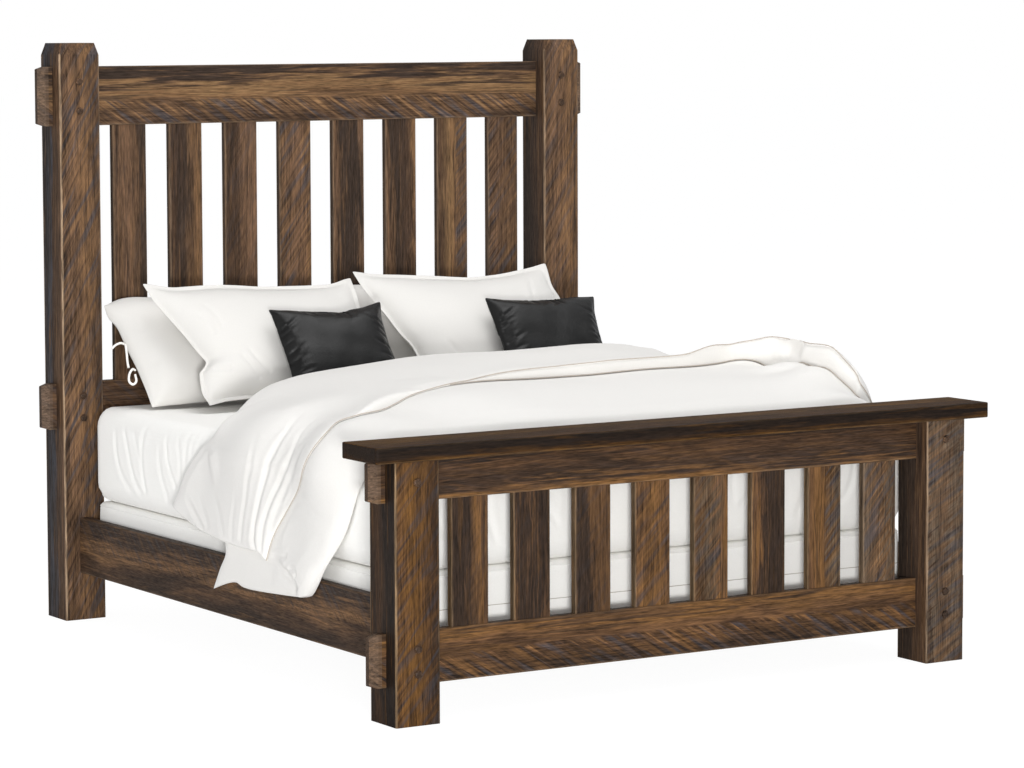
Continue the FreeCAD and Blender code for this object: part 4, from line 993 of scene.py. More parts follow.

# The finish of each hardwood node. Their order numbers their figures.
# The sides tones below are partly painted shade on the upright boards' sides turned from the lamps.
BOARDS = {
    "headboard_post_left": Timber(
        "umber 0 brown 6 tan 30 gold 60 brown 80 umber 100", Kerf(62, 0.8), worn=0.9,
        sides="tan 0 brown 14 umber 45 slate 60 black 100",
    ),
    "headboard_post_right": Timber("umber 0 brown 8 tan 40 gold 75 brown 100", Kerf(60, 0.5), worn=0.5),
    "footboard_post_left": Timber(
        "brown 0 tan 8 gold 35 brown 65 umber 85 dark 100", Kerf(50, 0.6), worn=0.7, depth=0.72, warmth=1.18,
        sides="black 0 black 40 dark 55 umber 75 black 100",
    ),
    "footboard_post_right": Timber("umber 0 grey 10 brown 45 grey 80 umber 100", Kerf(30, 0.75), worn=0.5),
    "headboard_top_rail": Timber(
        "umber 0 brown 30 gold 48 honey 66 brown 80 dark 92", Kerf(-33, 0.8, end=0.42), LEVEL, tip=TIP
    ),
    "headboard_bottom_rail": Timber(kerf=Kerf(-38, 0.4), lay=LEVEL, tip=TIP),
    "footboard_top_rail": Timber(
        "gold 0 brown 10 dark 25 umber 80 black 100", Kerf(-15, 0.1), LEVEL,
        cathedral=0.4, warmth=1.12, tip=TIP,
    ),
    "footboard_lower_rail": Timber(
        "dark 0 brown 30 umber 50 tan 62 gold 80 brown 95", Kerf(-32, 0.85, end=0.52), LEVEL,
        cathedral=0.15, warmth=1.12, tip=TIP,
    ),
    # The cap's gold lower band is a painted highlight along its lower edge, and its paler top tones in sides
    # are a painted reflection on its top.
    "footboard_cap": Timber(
        "gold 0 brown 15 dark 35 black 100", Kerf(0, 0.1), LEVEL,
        worn=0.25, gloss=0.7, depth=0.42, warmth=1.25, sides="umber 0 tan 20 brown 45 honey 70 tan 100",
    ),
    "side_rail_left": Timber(
        "dark 0 umber 30 gold 50 brown 66 dark 85", Kerf(-42, 0.4, start=0.45), DEEP, cathedral=0.15
    ),
    "side_rail_right": Timber("dark 0 brown 30 gold 55 dark 100", Kerf(-42, 0.35), DEEP, cathedral=0.15),
    "headboard_slat_1": Timber("brown 0 tan 35 brown 75 dark 100", Kerf(60, 0.1)),
    "headboard_slat_2": Timber("umber 0 dark 40 brown 58 gold 75 brown 100", Kerf(60, 0.1)),
    "headboard_slat_3": Timber("umber 0 umber 35 tan 60 tan 100", Kerf(58, 0.25)),
    "headboard_slat_4": Timber("brown 0 tan 50 tan 90 gold 100", Kerf(56, 0.8)),
    "headboard_slat_5": Timber("tan 0 brown 12 dark 28 dark 80 tan 94", Kerf(60, 0.1), cathedral=0.12),
    "headboard_slat_6": Timber("tan 0 brown 15 dark 30 umber 85 gold 97", Kerf(60, 0.1), cathedral=0.12),
    "headboard_slat_7": Timber("umber 0 brown 15 honey 38 gold 58 brown 75", Kerf(50, 0.8, start=0.6)),
    "headboard_slat_8": Timber("umber 0 tan 30 brown 60 brown 88 umber 100", Kerf(52, 0.7)),
    "footboard_slat_1": Board(
        "dark 0 dark 55 brown 72 gold 85 tan 100", Kerf(50, 0.1), cathedral=0.4, depth=0.85
    ),
    "footboard_slat_2": Board(
        "gold 0 brown 10 dark 20 dark 85 tan 97", Kerf(50, 0.1), cathedral=0.4, depth=0.82
    ),
    "footboard_slat_3": Board("dark 0 dark 35 brown 50 brown 100", Kerf(48, 0.2), depth=0.88),
    "footboard_slat_4": Board("tan 0 gold 40 tan 100", Kerf(47, 0.75), depth=0.86),
    "footboard_slat_5": Board("brown 0 grey 50 tan 80 gold 95", Kerf(47, 0.75, end=0.8), depth=0.9),
    "footboard_slat_6": Board("gold 0 tan 15 dark 30 dark 100", Kerf(48, 0.1), cathedral=0.4, depth=0.88),
    "footboard_slat_7": Board("tan 0 gold 35 brown 55 grey 100", Kerf(48, 0.8, start=0.5), depth=0.92),
    "footboard_slat_8": Board("grey 0 brown 45 gold 62 grey 75 umber 100", Kerf(50, 0.75), warmth=1.0),
}


@dataclass
class BedFrame:
    """Posts, rails, slats, pegs and steel fittings, which keep their CAD shapes.

    Attributes:
        pegs: The finish of the turned peg heads.
        cross: The finish of the plain pine cross slats.
        legs: The finish of the legs under them.
        cleats: The finish of the strips that carry them.
        plated: The finish of the hook and catch plates.
        feet: The finish of the levelling feet.
    """

    pegs: Timber = Timber("umber 0 tan 100", Kerf(0, 0.0), DEEP, worn=0.0, gloss=0.4)
    cross: Timber = Timber(
        "planed 0 pale 50 planed 100", Kerf(20, 0.2), Lay.FLAT, "pale 0 planed 100", worn=0.0
    )
    legs: Timber = Timber("planed 0 pale 50 planed 100", Kerf(50, 0.2), sides="pale 0 planed 100", worn=0.0)
    cleats: Timber = Timber("planed 0 pale 50 planed 100", Kerf(-42, 0.2), DEEP, "pale 0 planed 100")
    plated: Steel = Steel()
    feet: Steel = Steel("blackened_steel", "#55565a", "#3c3d40", 0.42)

    def build(self) -> None:
        """Dress every timber and steel node."""
        for seed, (node, timber) in enumerate(BOARDS.items(), start=1):
            self.saw(node, timber, seed)
        for seed, node in enumerate(("headboard_pegs", "footboard_pegs"), start=50):
            self.saw(node, self.pegs, seed)
        for number in range(1, 5):
            self.saw(f"cross_slat_{number}", self.cross, 60 + number)
            self.saw(f"centre_leg_{number}", self.legs, 70 + number)
            self.dress(f"levelling_foot_{number}", self.feet.material())
        for seed, node in enumerate(("rail_cleat_left", "rail_cleat_right"), start=80):
            self.saw(node, self.cleats, seed)
        for node in ("rail_hook_plates", "post_catch_plates"):
            self.dress(node, self.plated.material())

    def saw(self, node: str, timber: Timber, seed: int) -> None:
        """Give a board's node its timber, with a figure of its own."""
        self.dress(node, timber.material(node, *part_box(node), seed))

    def dress(self, node: str, material: bpy.types.Material) -> None:
        """Put a finish on a CAD node, whose mesh is left alone."""
        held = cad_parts[node]
        for place in range(len(held.material_slots)):
            held.material_slots[place].material = material
        LOG.info("%s: %s", node, material.name)


@dataclass
class Screws:
    """Round-headed screws that hold the cross slats down on the cleats.

    Attributes:
        head: Head diameter in metres.
        depth: Height of the head in metres.
        driver: Width of the square socket in the head.
        side: From the slat's end to a screw.
        half_gap: Half the distance between the two screws of an end.
    """

    head: float = 9 * MM
    depth: float = 0.6 * MM
    driver: float = 3 * MM
    side: float = 12 * MM
    half_gap: float = 22 * MM

    def build(self) -> None:
        """Model one screw head and copy it to every hole."""
        pattern = self.make_head()
        places = []
        for number in range(1, 5):
            low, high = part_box(f"cross_slat_{number}")
            middle = (low.y + high.y) / 2
            for side in (-1, 1):
                for along in (-self.half_gap, self.half_gap):
                    place = (side * (high.x - self.side), middle + along, high.z - self.depth / 2)
                    places.append(Vector(place))
        deselect()
        for index, place in enumerate(places, start=1):
            screw = add_object(f"slat_screw_{index}", pattern.data.copy())
            screw.data.transform(Matrix.Translation(place))
            finish_piece(screw, Steel().material())
        bpy.data.objects.remove(pattern)

    def make_head(self) -> bpy.types.Object:
        """Model a screw head with a square socket.

        Returns:
            The head, its top just above the origin.
        """
        deselect()
        bpy.ops.mesh.primitive_cylinder_add(
            vertices=24, radius=self.head / 2, depth=self.depth, location=(0, 0, 0)
        )
        head = bpy.context.object
        head.name = "screw_pattern"
        bpy.ops.object.mode_set(mode="EDIT")
        bpy.ops.mesh.select_all(action="DESELECT")
        shape = bmesh.from_edit_mesh(head.data)
        for face in shape.faces:
            face.select = face.normal.z > 0.9
        bmesh.update_edit_mesh(head.data)
        bpy.ops.mesh.inset(thickness=0.8 * MM)
        bpy.ops.transform.translate(value=(0, 0, 0.25 * MM))
        bpy.ops.mesh.inset(thickness=self.driver / 2)
        bpy.ops.mesh.extrude_region_move(TRANSFORM_OT_translate={"value": (0, 0, -0.5 * MM)})
        bpy.ops.object.mode_set(mode="OBJECT")
        bpy.ops.object.transform_apply(location=True, rotation=True, scale=True)
        apply_modifier(head, "BEVEL", width=0.12 * MM, segments=2)
        smooth_faces(head)
        return head


@dataclass
class Foundation:
    """The two slatted boxes under the mattress, in padded ticking.

    Attributes:
        cloth: The cover's finish.
        cord: The finish of the cord round both boxes, a grey-beige darker than the ticking: painted shade of
            the crevice along the seam.
        seam: Where the two boxes meet, in metres along the bed.
        gap: Half the gap between them.
        bulge: How far the padded sides stand proud between their seams.
        rounding: Radius of the boxes' edges.
        cord_height: Height of the cord over the floor.
        cord_radius: The cord's own radius.
        corner: Radius of the cord's corners.
    """

    cloth: Cloth = Cloth("woven_ticking", "#f8f7f3", "#e6e3dc", 2.2 * MM, 0.6 * MM)
    # The cord's grey-beige colour is painted shade of the crevice along the seam.
    cord: Cloth = Cloth("ticking_cord", "#b4ada3", "#9c948a", 1.2 * MM, 0.1 * MM)
    seam: float = 74 * MM
    gap: float = 2 * MM
    bulge: float = 2.5 * MM
    rounding: float = 22 * MM
    cord_height: float = 297 * MM
    cord_radius: float = 1.3 * MM
    corner: float = 20 * MM

    def build(self) -> None:
        """Model both boxes and the cord round them."""
        low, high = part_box("foundation")
        for name, start, end in (
            ("foundation_foot_half", low.y, self.seam - self.gap),
            ("foundation_head_half", self.seam + self.gap, high.y),
        ):
            piece = self.make_box(name, Vector((low.x, start, low.z)), Vector((high.x, end, high.z)))
            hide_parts("foundation")
            finish_piece(piece, self.cloth.material())
        line = []
        inset = self.corner + 1 * MM
        for turn, (x, y) in enumerate(((high.x, high.y), (low.x, high.y), (low.x, low.y), (high.x, low.y))):
            centre = Vector((x - math.copysign(inset, x), y - math.copysign(inset, y)))
            for step in range(7):
                angle = (turn + step / 6) * math.pi / 2
                around = centre + self.corner * Vector((math.cos(angle), math.sin(angle)))
                line.append((*around, self.cord_height))
        cord = tube("foundation_cord", np.array(line), self.cord_radius, True)
        finish_piece(cord, self.cord.material())

    def make_box(self, name: str, low: Vector, high: Vector) -> bpy.types.Object:
        """Model one padded box.

        Args:
            name: The piece's name.
            low: Its lowest corner.
            high: Its highest corner.

        Returns:
            The mesh object.
        """
        deselect()
        size = high - low - Vector((2 * self.bulge, 2 * self.bulge, 0))
        bpy.ops.mesh.primitive_cube_add(size=1.0, location=(low + high) / 2, scale=size)
        piece = bpy.context.object
        piece.name = name
        bpy.ops.object.transform_apply(location=True, rotation=True, scale=True)
        apply_modifier(piece, "BEVEL", width=self.rounding, segments=5, limit_method="ANGLE")
        bpy.ops.object.mode_set(mode="EDIT")
        bpy.ops.mesh.select_all(action="SELECT")
        bpy.ops.mesh.subdivide(number_cuts=12)
        bpy.ops.object.mode_set(mode="OBJECT")
        points = points_of(piece)
        share = (points[:, 2] - low.z) / (high.z - low.z)
        welt = np.exp(-(((share - 0.07) / 0.012) ** 2)) + np.exp(-(((share - 0.93) / 0.012) ** 2))
        padding = np.sin(np.clip((share - 0.1) / 0.8, 0, 1) * math.pi)
        out = self.bulge * np.maximum(welt, 0.8 * padding)
        normal = normals_of(piece)
        normal[:, 2] = 0
        length = np.linalg.norm(normal, axis=1, keepdims=True)
        points += np.where(length > 0.5, normal / np.maximum(length, 1e-6), 0) * out[:, None]
        move_points(piece, points)
        smooth_faces(piece)
        return piece


@dataclass
class Mattress:
    """The mattress in its white fitted sheet, with sizes in millimetres.

    Attributes:
        cloth: The sheet's finish.
        step: Spacing of the mesh round the sides.
        corner: Radius of its corners seen from above.
        edge: Radius of its long edges.
        flat_rows: Rings of the mesh on its flat top and base.
        tape: Height of the sheet's hem tape over the mattress's base.
        folds: Folds of the sheet down the side, as place along the side and height.
        starts: How far the folds are shifted on each half of the left, right, foot and head side.
    """

    cloth: Cloth = Cloth("sheet_cotton", "#f8f7f3", "#e9e6df", crease=1.3 * MM)
    step: float = 9.0
    corner: float = 66.0
    edge: float = 66.0
    flat_rows: int = 14
    tape: float = 18.0
    folds: tuple = (
        Crease(((841, 690), (836, 606), (807, 538), (747, 490), (670, 450)), 3.6, 10.0, (0.15, 0.1)),
        Crease(((782, 705), (751, 628), (723, 557), (679, 497), (610, 458)), 3.3, 10.0, (0.15, 0.1)),
        Crease(((704, 693), (683, 638), (654, 585)), 2.1, 11.0),
        Crease(((600, 735), (638, 653), (643, 585), (633, 533), (605, 465)), 3.6, 10.0, (0.15, 0.1)),
        Crease(((511, 672), (513, 598), (493, 541), (450, 475)), 2.7, 11.0),
        Crease(((445, 715), (461, 653), (441, 586), (390, 520)), 3.3, 9.0),
        Crease(((364, 725), (374, 669), (361, 604), (369, 540)), 2.4, 10.0),
        Crease(((292, 730), (308, 700), (323, 640), (332, 560)), 2.4, 9.0),
        Crease(((250, 730), (270, 680), (285, 600)), 1.8, 9.0),
        Crease(((205, 733), (239, 666), (250, 590)), 1.8, 9.0),
    )
    starts: tuple = ((0.0, 60.0), (30.0, 0.0), (90.0, 20.0), (0.0, 50.0))

    def build(self) -> None:
        """Model the mattress, its sheet's folds and its lower seam."""
        low, high = (np.array(corner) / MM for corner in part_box("mattress"))
        points, columns = self.rings(low, high)
        points = self.fold(points, low, high)
        grid = np.arange(len(points)).reshape(-1, columns)
        quads = quads_of(np.hstack([grid, grid[:, :1]]))
        faces = [*quads.tolist(), grid[0][::-1].tolist(), grid[-1].tolist()]
        piece = add_skin("mattress_in_sheet", points * MM, faces)
        smooth_faces(piece)
        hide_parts("mattress")
        finish_piece(piece, self.cloth.material())

    def rings(self, low: np.ndarray, high: np.ndarray) -> tuple[np.ndarray, int]:
        """Lay rings of points from the middle of the top, down the sides, to the middle of the base.

        Args:
            low: Lowest corner in millimetres.
            high: Highest corner.

        Returns:
            The points and how many there are in one ring.
        """
        half = (high - low) / 2
        turn = np.linspace(0, math.pi / 2, 7)
        side = np.linspace(high[2] - self.edge, low[2] + self.edge, 26)[1:-1]
        flat = np.linspace(0.97 * half[0], self.edge, self.flat_rows)
        inset = [*flat, *(self.edge * (1 - np.sin(turn[1:]))), *([0.0] * len(side))]
        inset += [*(self.edge * (1 - np.cos(turn))), *flat[-2::-1]]
        level = [*([high[2]] * self.flat_rows), *(high[2] - self.edge * (1 - np.cos(turn[1:]))), *side]
        level += [*(low[2] + self.edge * (1 - np.sin(turn))), *([low[2]] * (self.flat_rows - 1))]
        arc = np.linspace(0, math.pi / 2, 9)
        rings = []
        for away, z in zip(inset, level):
            radius = max(self.corner - away, 2.0)
            a, b = half[0] - away - radius, half[1] - away - radius
            ring = []
            for quarter, (cx, cy) in enumerate(((a, b), (-a, b), (-a, -b), (a, -b))):
                angle = arc + quarter * math.pi / 2
                ring.append(np.stack([cx + radius * np.cos(angle), cy + radius * np.sin(angle)], axis=1))
                odd = quarter % 2
                share = np.linspace(0, 1, int(2 * half[odd] / self.step))[1:-1, None]
                ends = ring[-1][-1]
                following = ends * ((-1, 1), (1, -1))[odd]
                ring.append(ends + (following - ends) * share)
            flat = np.concatenate(ring)
            rings.append(np.c_[flat, np.full(len(flat), z)])
        points = np.concatenate(rings)
        points[:, :2] += (low[:2] + high[:2]) / 2
        return points, len(rings[0])

    def fold(self, points: np.ndarray, low: np.ndarray, high: np.ndarray) -> np.ndarray:
        """Draw the sheet into folds down the sides and round a corded seam at the bottom.

        Args:
            points: Points of the smooth mattress.
            low: Lowest corner in millimetres.
            high: Highest corner.

        Returns:
            The moved points.
        """
        x, y, z = points.T
        middle = (low + high) / 2
        half = (high - low) / 2
        inner = np.clip(points[:, :2] - middle[:2], -(half[:2] - self.corner), half[:2] - self.corner)
        out = points[:, :2] - middle[:2] - inner
        reach = np.linalg.norm(out, axis=1)
        out /= np.maximum(reach, 1e-6)[:, None]
        steep = ease(reach, 0.35 * self.corner, 0.95 * self.corner)
        depth = np.full(len(points), -4.0)
        on_side = np.abs(out[:, 0]) > np.abs(out[:, 1])
        sides = (
            (on_side & (x < 0), y), (on_side & (x > 0), y), (~on_side & (y < 0), x),
            (~on_side & (y > 0), x),
        )
        for (where, place), starts in zip(sides, self.starts):
            for sign, shift in zip((1, -1), starts):
                for fold in self.folds:
                    depth[where] += 0.85 * fold.relief(sign * place[where] + shift, z[where])
        tape = low[2] + self.tape
        depth += 3.5 * np.exp(-(((z - tape) / 7.0) ** 2)) * ease(reach, 30.0, 40.0)
        depth -= 3.0 * np.exp(-(((z - tape - 17.0) / 6.0) ** 2))
        moved = points.copy()
        moved[:, :2] += out * (np.minimum(depth, -0.3) * steep)[:, None]
        soft = np.sin(0.011 * x + 1.2 * np.sin(0.006 * y)) * np.sin(0.009 * y + 0.003 * x)
        moved[:, 2] -= np.where(z > high[2] - 1, 2.0 * (1 + soft), 0.0)
        return moved


@dataclass
class Pillow:
    """A filled pillow or cushion that leans against the headboard.

    The four edges are given as steps of the share along the edge, from -1 to 1, and how far the
    edge lies inside the piece's full width or height there, in millimetres.

    Attributes:
        name: The piece's name.
        node: The CAD node that it replaces.
        width: Size across the bed in metres, with any flange.
        height: Size up its face.
        thickness: Thickness at the middle.
        rise: Degrees between the mattress and the cushion's face.
        flange: Width of the flat border round the filled part.
        left: The left edge, from the bottom to the top.
        right: The right edge, from the bottom to the top.
        bottom: The bottom edge, from the left to the right.
        top: The top edge, from the left to the right.
        creases: Folds in its face, in millimetres from its middle.
        spacing: Mesh spacing in metres.
        swelling: The farthest that the simulation may move its skin.
        seed: Number that gives it dents of its own.
    """

    name: str
    node: str
    width: float
    height: float
    thickness: float
    rise: float = 50.0
    flange: float = 0.0
    left: tuple = ((-1, 0), (0, 22), (1, 0))
    right: tuple = ((-1, 0), (0, 22), (1, 0))
    bottom: tuple = ((-1, 0), (0, 14), (1, 0))
    top: tuple = ((-1, 0), (0, 26), (1, 0))
    creases: tuple = ()
    spacing: float = 8.5 * MM
    swelling: float = 9 * MM
    seed: int = 1

    def build(self, material: bpy.types.Material, slot: Slot, fill: float) -> bpy.types.Object:
        """Model, fill and place the cushion.

        Args:
            material: Its finish.
            slot: The record's slot for that finish; not used.
            fill: How tight it is, from 0 to 1; not used.

        Returns:
            The finished piece.
        """
        piece, edge = self.make_skin()
        swell(piece, self.swelling, edge)
        apply_modifier(piece, "SUBSURF", levels=1, render_levels=1)
        self.dent(piece)
        move_points(piece, self.lean(points_of(piece)))
        smooth_faces(piece)
        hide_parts(self.node)
        return finish_piece(piece, material)

    def outline(self, across: np.ndarray, up: np.ndarray) -> tuple[np.ndarray, np.ndarray, np.ndarray]:
        """Place the skin's points on the flat cushion.

        Args:
            across: Shares of the half width, from -1 to 1.
            up: Shares of the half height, from -1 to 1.

        Returns:
            Place across, place up and half thickness.
        """

        def inward(edge: tuple, share: np.ndarray) -> np.ndarray:
            """How far a softened edge lies inside the full size."""
            places, depths = (np.array(column, dtype=float) for column in zip(*edge))
            blur = [np.interp(share + shift, places, depths) for shift in (-0.06, -0.02, 0.02, 0.06)]
            return sum(blur) / 4 * MM

        pull = 2.5
        half_width, half_height = self.width / 2, self.height / 2
        x = half_width * across + inward(self.left, up) * ((1 - across) / 2) ** pull
        x -= inward(self.right, up) * ((1 + across) / 2) ** pull
        y = half_height * up + inward(self.bottom, across) * ((1 - up) / 2) ** pull
        y -= inward(self.top, across) * ((1 + up) / 2) ** pull
        u = np.clip(np.abs(across) * half_width / (half_width - self.flange), 0, 1)
        v = np.clip(np.abs(up) * half_height / (half_height - self.flange), 0, 1)
        crown = (1 - u**3.2) ** 0.55 * (1 - v**2.6) ** 0.55
        return x, y, 0.9 * MM + (self.thickness / 2 - 6 * MM) * crown

    def make_skin(self) -> tuple[bpy.types.Object, np.ndarray]:
        """Model the closed skin, flat on its back round the origin.

        Returns:
            The mesh object and the weight that holds each point of its seam.
        """
        columns = int(self.width / self.spacing)
        rows = int(self.height / self.spacing)
        across, up = np.meshgrid(np.linspace(-1, 1, columns), np.linspace(-1, 1, rows))
        x, y, half = self.outline(across, up)
        front, back = (np.dstack([x, y, side * half]).reshape(-1, 3) for side in (1, -1))
        count = rows * columns
        grid = np.arange(count).reshape(rows, columns)
        quads = quads_of(grid)
        border = np.concatenate([grid[0], grid[1:, -1], grid[-1, -2::-1], grid[-2:0:-1, 0]])
        following = np.roll(border, -1)
        rim = np.stack([border, border + count, following + count, following], -1)
        faces = np.vstack([quads, quads[:, ::-1] + count, rim])
        piece = add_skin(self.name, np.vstack([front, back]), faces.tolist())
        mesh = piece.data
        layer = mesh.uv_layers.new(name="cloth")
        corners = np.empty(len(mesh.loops), dtype=int)
        mesh.loops.foreach_get("vertex_index", corners)
        layer.data.foreach_set("uv", front[corners % count, :2].ravel())
        held = np.zeros((rows, columns))
        if self.flange:
            beside = np.abs(across) * self.width / 2 > self.width / 2 - self.flange
            beyond = np.abs(up) * self.height / 2 > self.height / 2 - self.flange
            held[beside | beyond] = 1.0
        return piece, np.concatenate([held.ravel(), held.ravel()])

    def dent(self, piece: bpy.types.Object) -> None:
        """Give the cushion soft dents, its creases and a waving border.

        Args:
            piece: The cushion's mesh, still flat on its back.
        """
        points = points_of(piece)
        x, y = points[:, 0] / (self.width / 2), points[:, 1] / (self.height / 2)
        s = self.seed
        soft = np.sin(2.3 * x + s) * np.sin(2.9 * y + 2 * s)
        soft += 0.6 * np.sin(5.1 * x - 2 * s) * np.sin(4.3 * y + s)
        soft += 0.35 * np.sin(9 * x + 4 * y + s) * np.sin(8 * y - 5 * x + 2 * s)
        inside = np.clip((1 - np.abs(x)) * (1 - np.abs(y)) * 9, 0, 1)
        lift = inside * -2.5 * (1 + soft)
        for crease in self.creases:
            lift += crease.relief(points[:, 0] / MM, points[:, 1] / MM) * np.clip(inside * 2.5, 0, 1)
        points[:, 2] += np.where(points[:, 2] > 0, 1.0, -1.0) * lift * MM
        rim = ease(np.maximum(np.abs(x), np.abs(y)), 0.9, 1.0)
        points[:, 2] += rim * 3.5 * MM * np.sin(9 * x + s) * np.sin(11 * y + 2 * s)
        move_points(piece, points)

    def lean(self, points: np.ndarray) -> np.ndarray:
        """Turn flat points up against the headboard and put them in their place.

        Args:
            points: Points of the flat cushion.

        Returns:
            The same points in the bed's frame.
        """
        low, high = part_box(self.node)
        turned = np.array(Matrix.Rotation(math.radians(self.rise), 3, "X"))
        return points @ turned.T + np.array((low + high) / 2)


# Start, reach inwards, rise and depth of each crease of a fan, and place and depth of each crease
# that runs down from the top, in millimetres.
FAN = (
    (118, 90, 60, 3.2), (84, 70, 38, 2.4), (46, 60, 30, 3.0), (8, 85, 42, 3.6), (-30, 75, 30, 3.0),
    (-72, 95, 26, 3.4),
)
# Half the width and about half the height of a leather cushion, in millimetres.
CUSHION_SIDE = 205
CUSHION_TOP = 150


def fan(side: int, seed: int) -> tuple[Crease, ...]:
    """Lay out the creases that run in from one short side of a leather cushion.

    Args:
        side: -1 for the left side, 1 for the right.
        seed: Number that varies them.

    Returns:
        The creases.
    """
    folds = []
    x = side * CUSHION_SIDE
    for number, (start, reach, rise, depth) in enumerate(FAN):
        sway = 7 * math.sin(2.1 * number + seed)
        path = (
            (x, start - rise * 0.9 + sway),
            (x - side * reach * 0.5, start - rise * 0.5 + sway),
            (x - side * reach, start + sway * 1.6),
        )
        folds.append(Crease(path, depth, 6.5, (0.12, 0.6)))
    for place, depth in ((-90 + 12 * seed, 3.0), (5 + 9 * seed, 2.2), (66, 3.4)):
        path = ((place, CUSHION_TOP), (place + 6, 128), (place + 18, 100))
        folds.append(Crease(path, depth, 6.5, (0.1, 0.7)))
    return tuple(folds)


# Width, height and thickness of each kind of pillow in metres, and the cushions' lean in degrees.
BACK = (0.896, 0.500, 0.165)
FRONT = (0.812, 0.550, 0.160)
LUMBAR = (0.455, 0.320, 0.095, 55.0)


@dataclass
class Pillows:
    """Two back pillows with ties, two bordered front pillows and two leather cushions.

    Attributes:
        cloth: The pillow cases' finish, a greyer white than the other cotton: painted shade that offsets the
            stronger lamp light on the pillows' faces.
        tape: The ties' finish.
        hide: The cushions' finish.
        pillows: The four pillows.
        cushions: The two cushions.
        ties: Ties of the left back pillow, in millimetres on its face and above it.
        tie_radius: Half the ties' width in metres.
        welt_radius: Radius of the cushions' welts in metres.
    """

    # The pillow cotton is a greyer copy of the white cotton: painted shade against the stronger lamp light
    # on the pillows.
    cloth: Cloth = Cloth("pillow_cotton", "#d8d6d2", "#cecbc5", weave=Weave.CLOTH)
    tape: Cloth = Cloth("tape_cotton", thread=1.2 * MM, crease=0.3 * MM)
    hide: Leather = Leather()
    pillows: tuple = (
        Pillow(
            "back_pillow_l", "back_pillow_left", *BACK, seed=1,
            left=((-1, 43), (-0.88, 43), (-0.62, 42), (-0.33, 39), (0.09, 28), (0.5, 19), (0.74, 1), (1, 0)),
            top=((-1, 65), (-0.89, 36), (-0.76, 27), (-0.59, 34), (0, 30), (0.7, 24), (1, 14)),
        ),
        Pillow(
            "back_pillow_r", "back_pillow_right", *BACK, seed=4,
            right=((-1, 30), (-0.5, 34), (0.09, 26), (0.5, 16), (0.74, 1), (1, 0)),
            top=((-1, 14), (-0.6, 26), (0, 34), (0.6, 30), (0.89, 34), (1, 58)),
        ),
        Pillow(
            "front_pillow_l", "front_pillow_left", *FRONT, flange=0.022, seed=2,
            left=(
                (-1, 84), (-0.8, 69), (-0.575, 80), (-0.4, 92), (-0.34, 136), (-0.1, 108), (0.18, 81),
                (0.44, 49), (0.69, 19), (0.95, 4), (1, 0),
            ),
            bottom=((-1, 30), (-0.8, 44), (-0.6, 48), (-0.46, 50), (-0.2, 20), (0, 0), (1, 0)),
            top=(
                (-1, 2), (-0.95, 7), (-0.76, 28), (-0.43, 25), (-0.26, 26), (0.06, 42), (0.4, 47),
                (0.78, 46), (1, 17),
            ),
            creases=(
                Crease(((-300, -92), (-262, -120), (-215, -128)), 5.0, 9.0),
                Crease(((-180, -60), (-150, -120), (-120, -175)), 3.0, 9.0),
                Crease(((-150, -40), (-118, -110), (-80, -160)), 2.5, 9.0),
                Crease(((-290, 120), (-250, 70), (-235, 10)), 2.0, 10.0),
                Crease(((-250, 160), (-215, 95), (-200, 30)), 2.0, 10.0),
            ),
        ),
        Pillow(
            "front_pillow_r", "front_pillow_right", *FRONT, flange=0.022, seed=5,
            left=((-1, 110), (-0.34, 131), (-0.17, 125), (0, 98), (0.3, 73), (0.56, 43), (0.78, 22), (1, 8)),
            right=((-1, 0), (0, 6), (0.47, -3), (0.64, 4), (1, -4)),
            top=((-1, -6), (-0.97, -4), (-0.75, 10), (-0.23, 30), (0.16, 47), (0.51, 36), (0.9, 8), (1, -3)),
            creases=(
                Crease(((-180, -60), (-150, -120), (-120, -175)), 2.5, 9.0),
                Crease(((300, 200), (270, 140), (255, 80)), 2.5, 10.0),
            ),
        ),
    )
    cushions: tuple = (
        Pillow(
            "hide_cushion_l", "lumbar_cushion_left", *LUMBAR, spacing=6 * MM, seed=3,
            left=((-1, 8), (-0.5, 17), (0.5, 17), (1, 12)),
            right=((-1, 0), (0, 12), (0.6, 8), (1, -8)),
            top=((-1, -13), (-0.93, -12), (-0.4, 0), (0.29, 13), (0.45, 2), (0.67, -3), (1, -16)),
            creases=fan(-1, 1) + fan(1, 2),
        ),
        Pillow(
            "hide_cushion_r", "lumbar_cushion_right", *LUMBAR, spacing=6 * MM, seed=6,
            left=((-1, 2), (0, 6), (1, 4)),
            right=((-1, 8), (-0.3, 22), (0.5, 8), (1, -12)),
            top=((-1, -13), (-0.9, -10), (-0.3, 2), (0.2, 6), (0.6, 0), (1, 2)),
            creases=fan(-1, 3) + fan(1, 4),
        ),
    )
    ties: tuple = (
        ((-416, 22, 0), (-428, 22, 6), (-440, 19, 9), (-456, 12, 9), (-470, 2, 6)),
        ((-414, 18, 2), (-419, 8, 12), (-427, -23, 16), (-435, -60, 14), (-438, -84, 12)),
        (
            (-410, -88, 0), (-426, -92, 12), (-446, -114, 16), (-456, -142, 16), (-446, -156, 16),
            (-430, -144, 16), (-424, -116, 14),
        ),
    )
    tie_radius: float = 4.0 * MM
    welt_radius: float = 2.0 * MM

    def build(self) -> None:
        """Model all six and the ties."""
        for pillow in self.pillows:
            pillow.build(self.cloth.material(), Slot.COTTON, 0.75)
        for cushion in self.cushions:
            piece = cushion.build(self.hide.material(), Slot.LEATHER, 0.8)
            self.add_welt(cushion, piece)
        self.add_ties()

    def add_ties(self) -> None:
        """Hang the tapes that close the left back pillow's cover."""
        for number, path in enumerate(self.ties, start=1):
            line = smooth_line(self.pillows[0].lean(np.array(path, dtype=float) * MM), 8)
            tie = tube(f"pillow_tie_{number}", line, self.tie_radius)
            finish_piece(tie, self.tape.material())

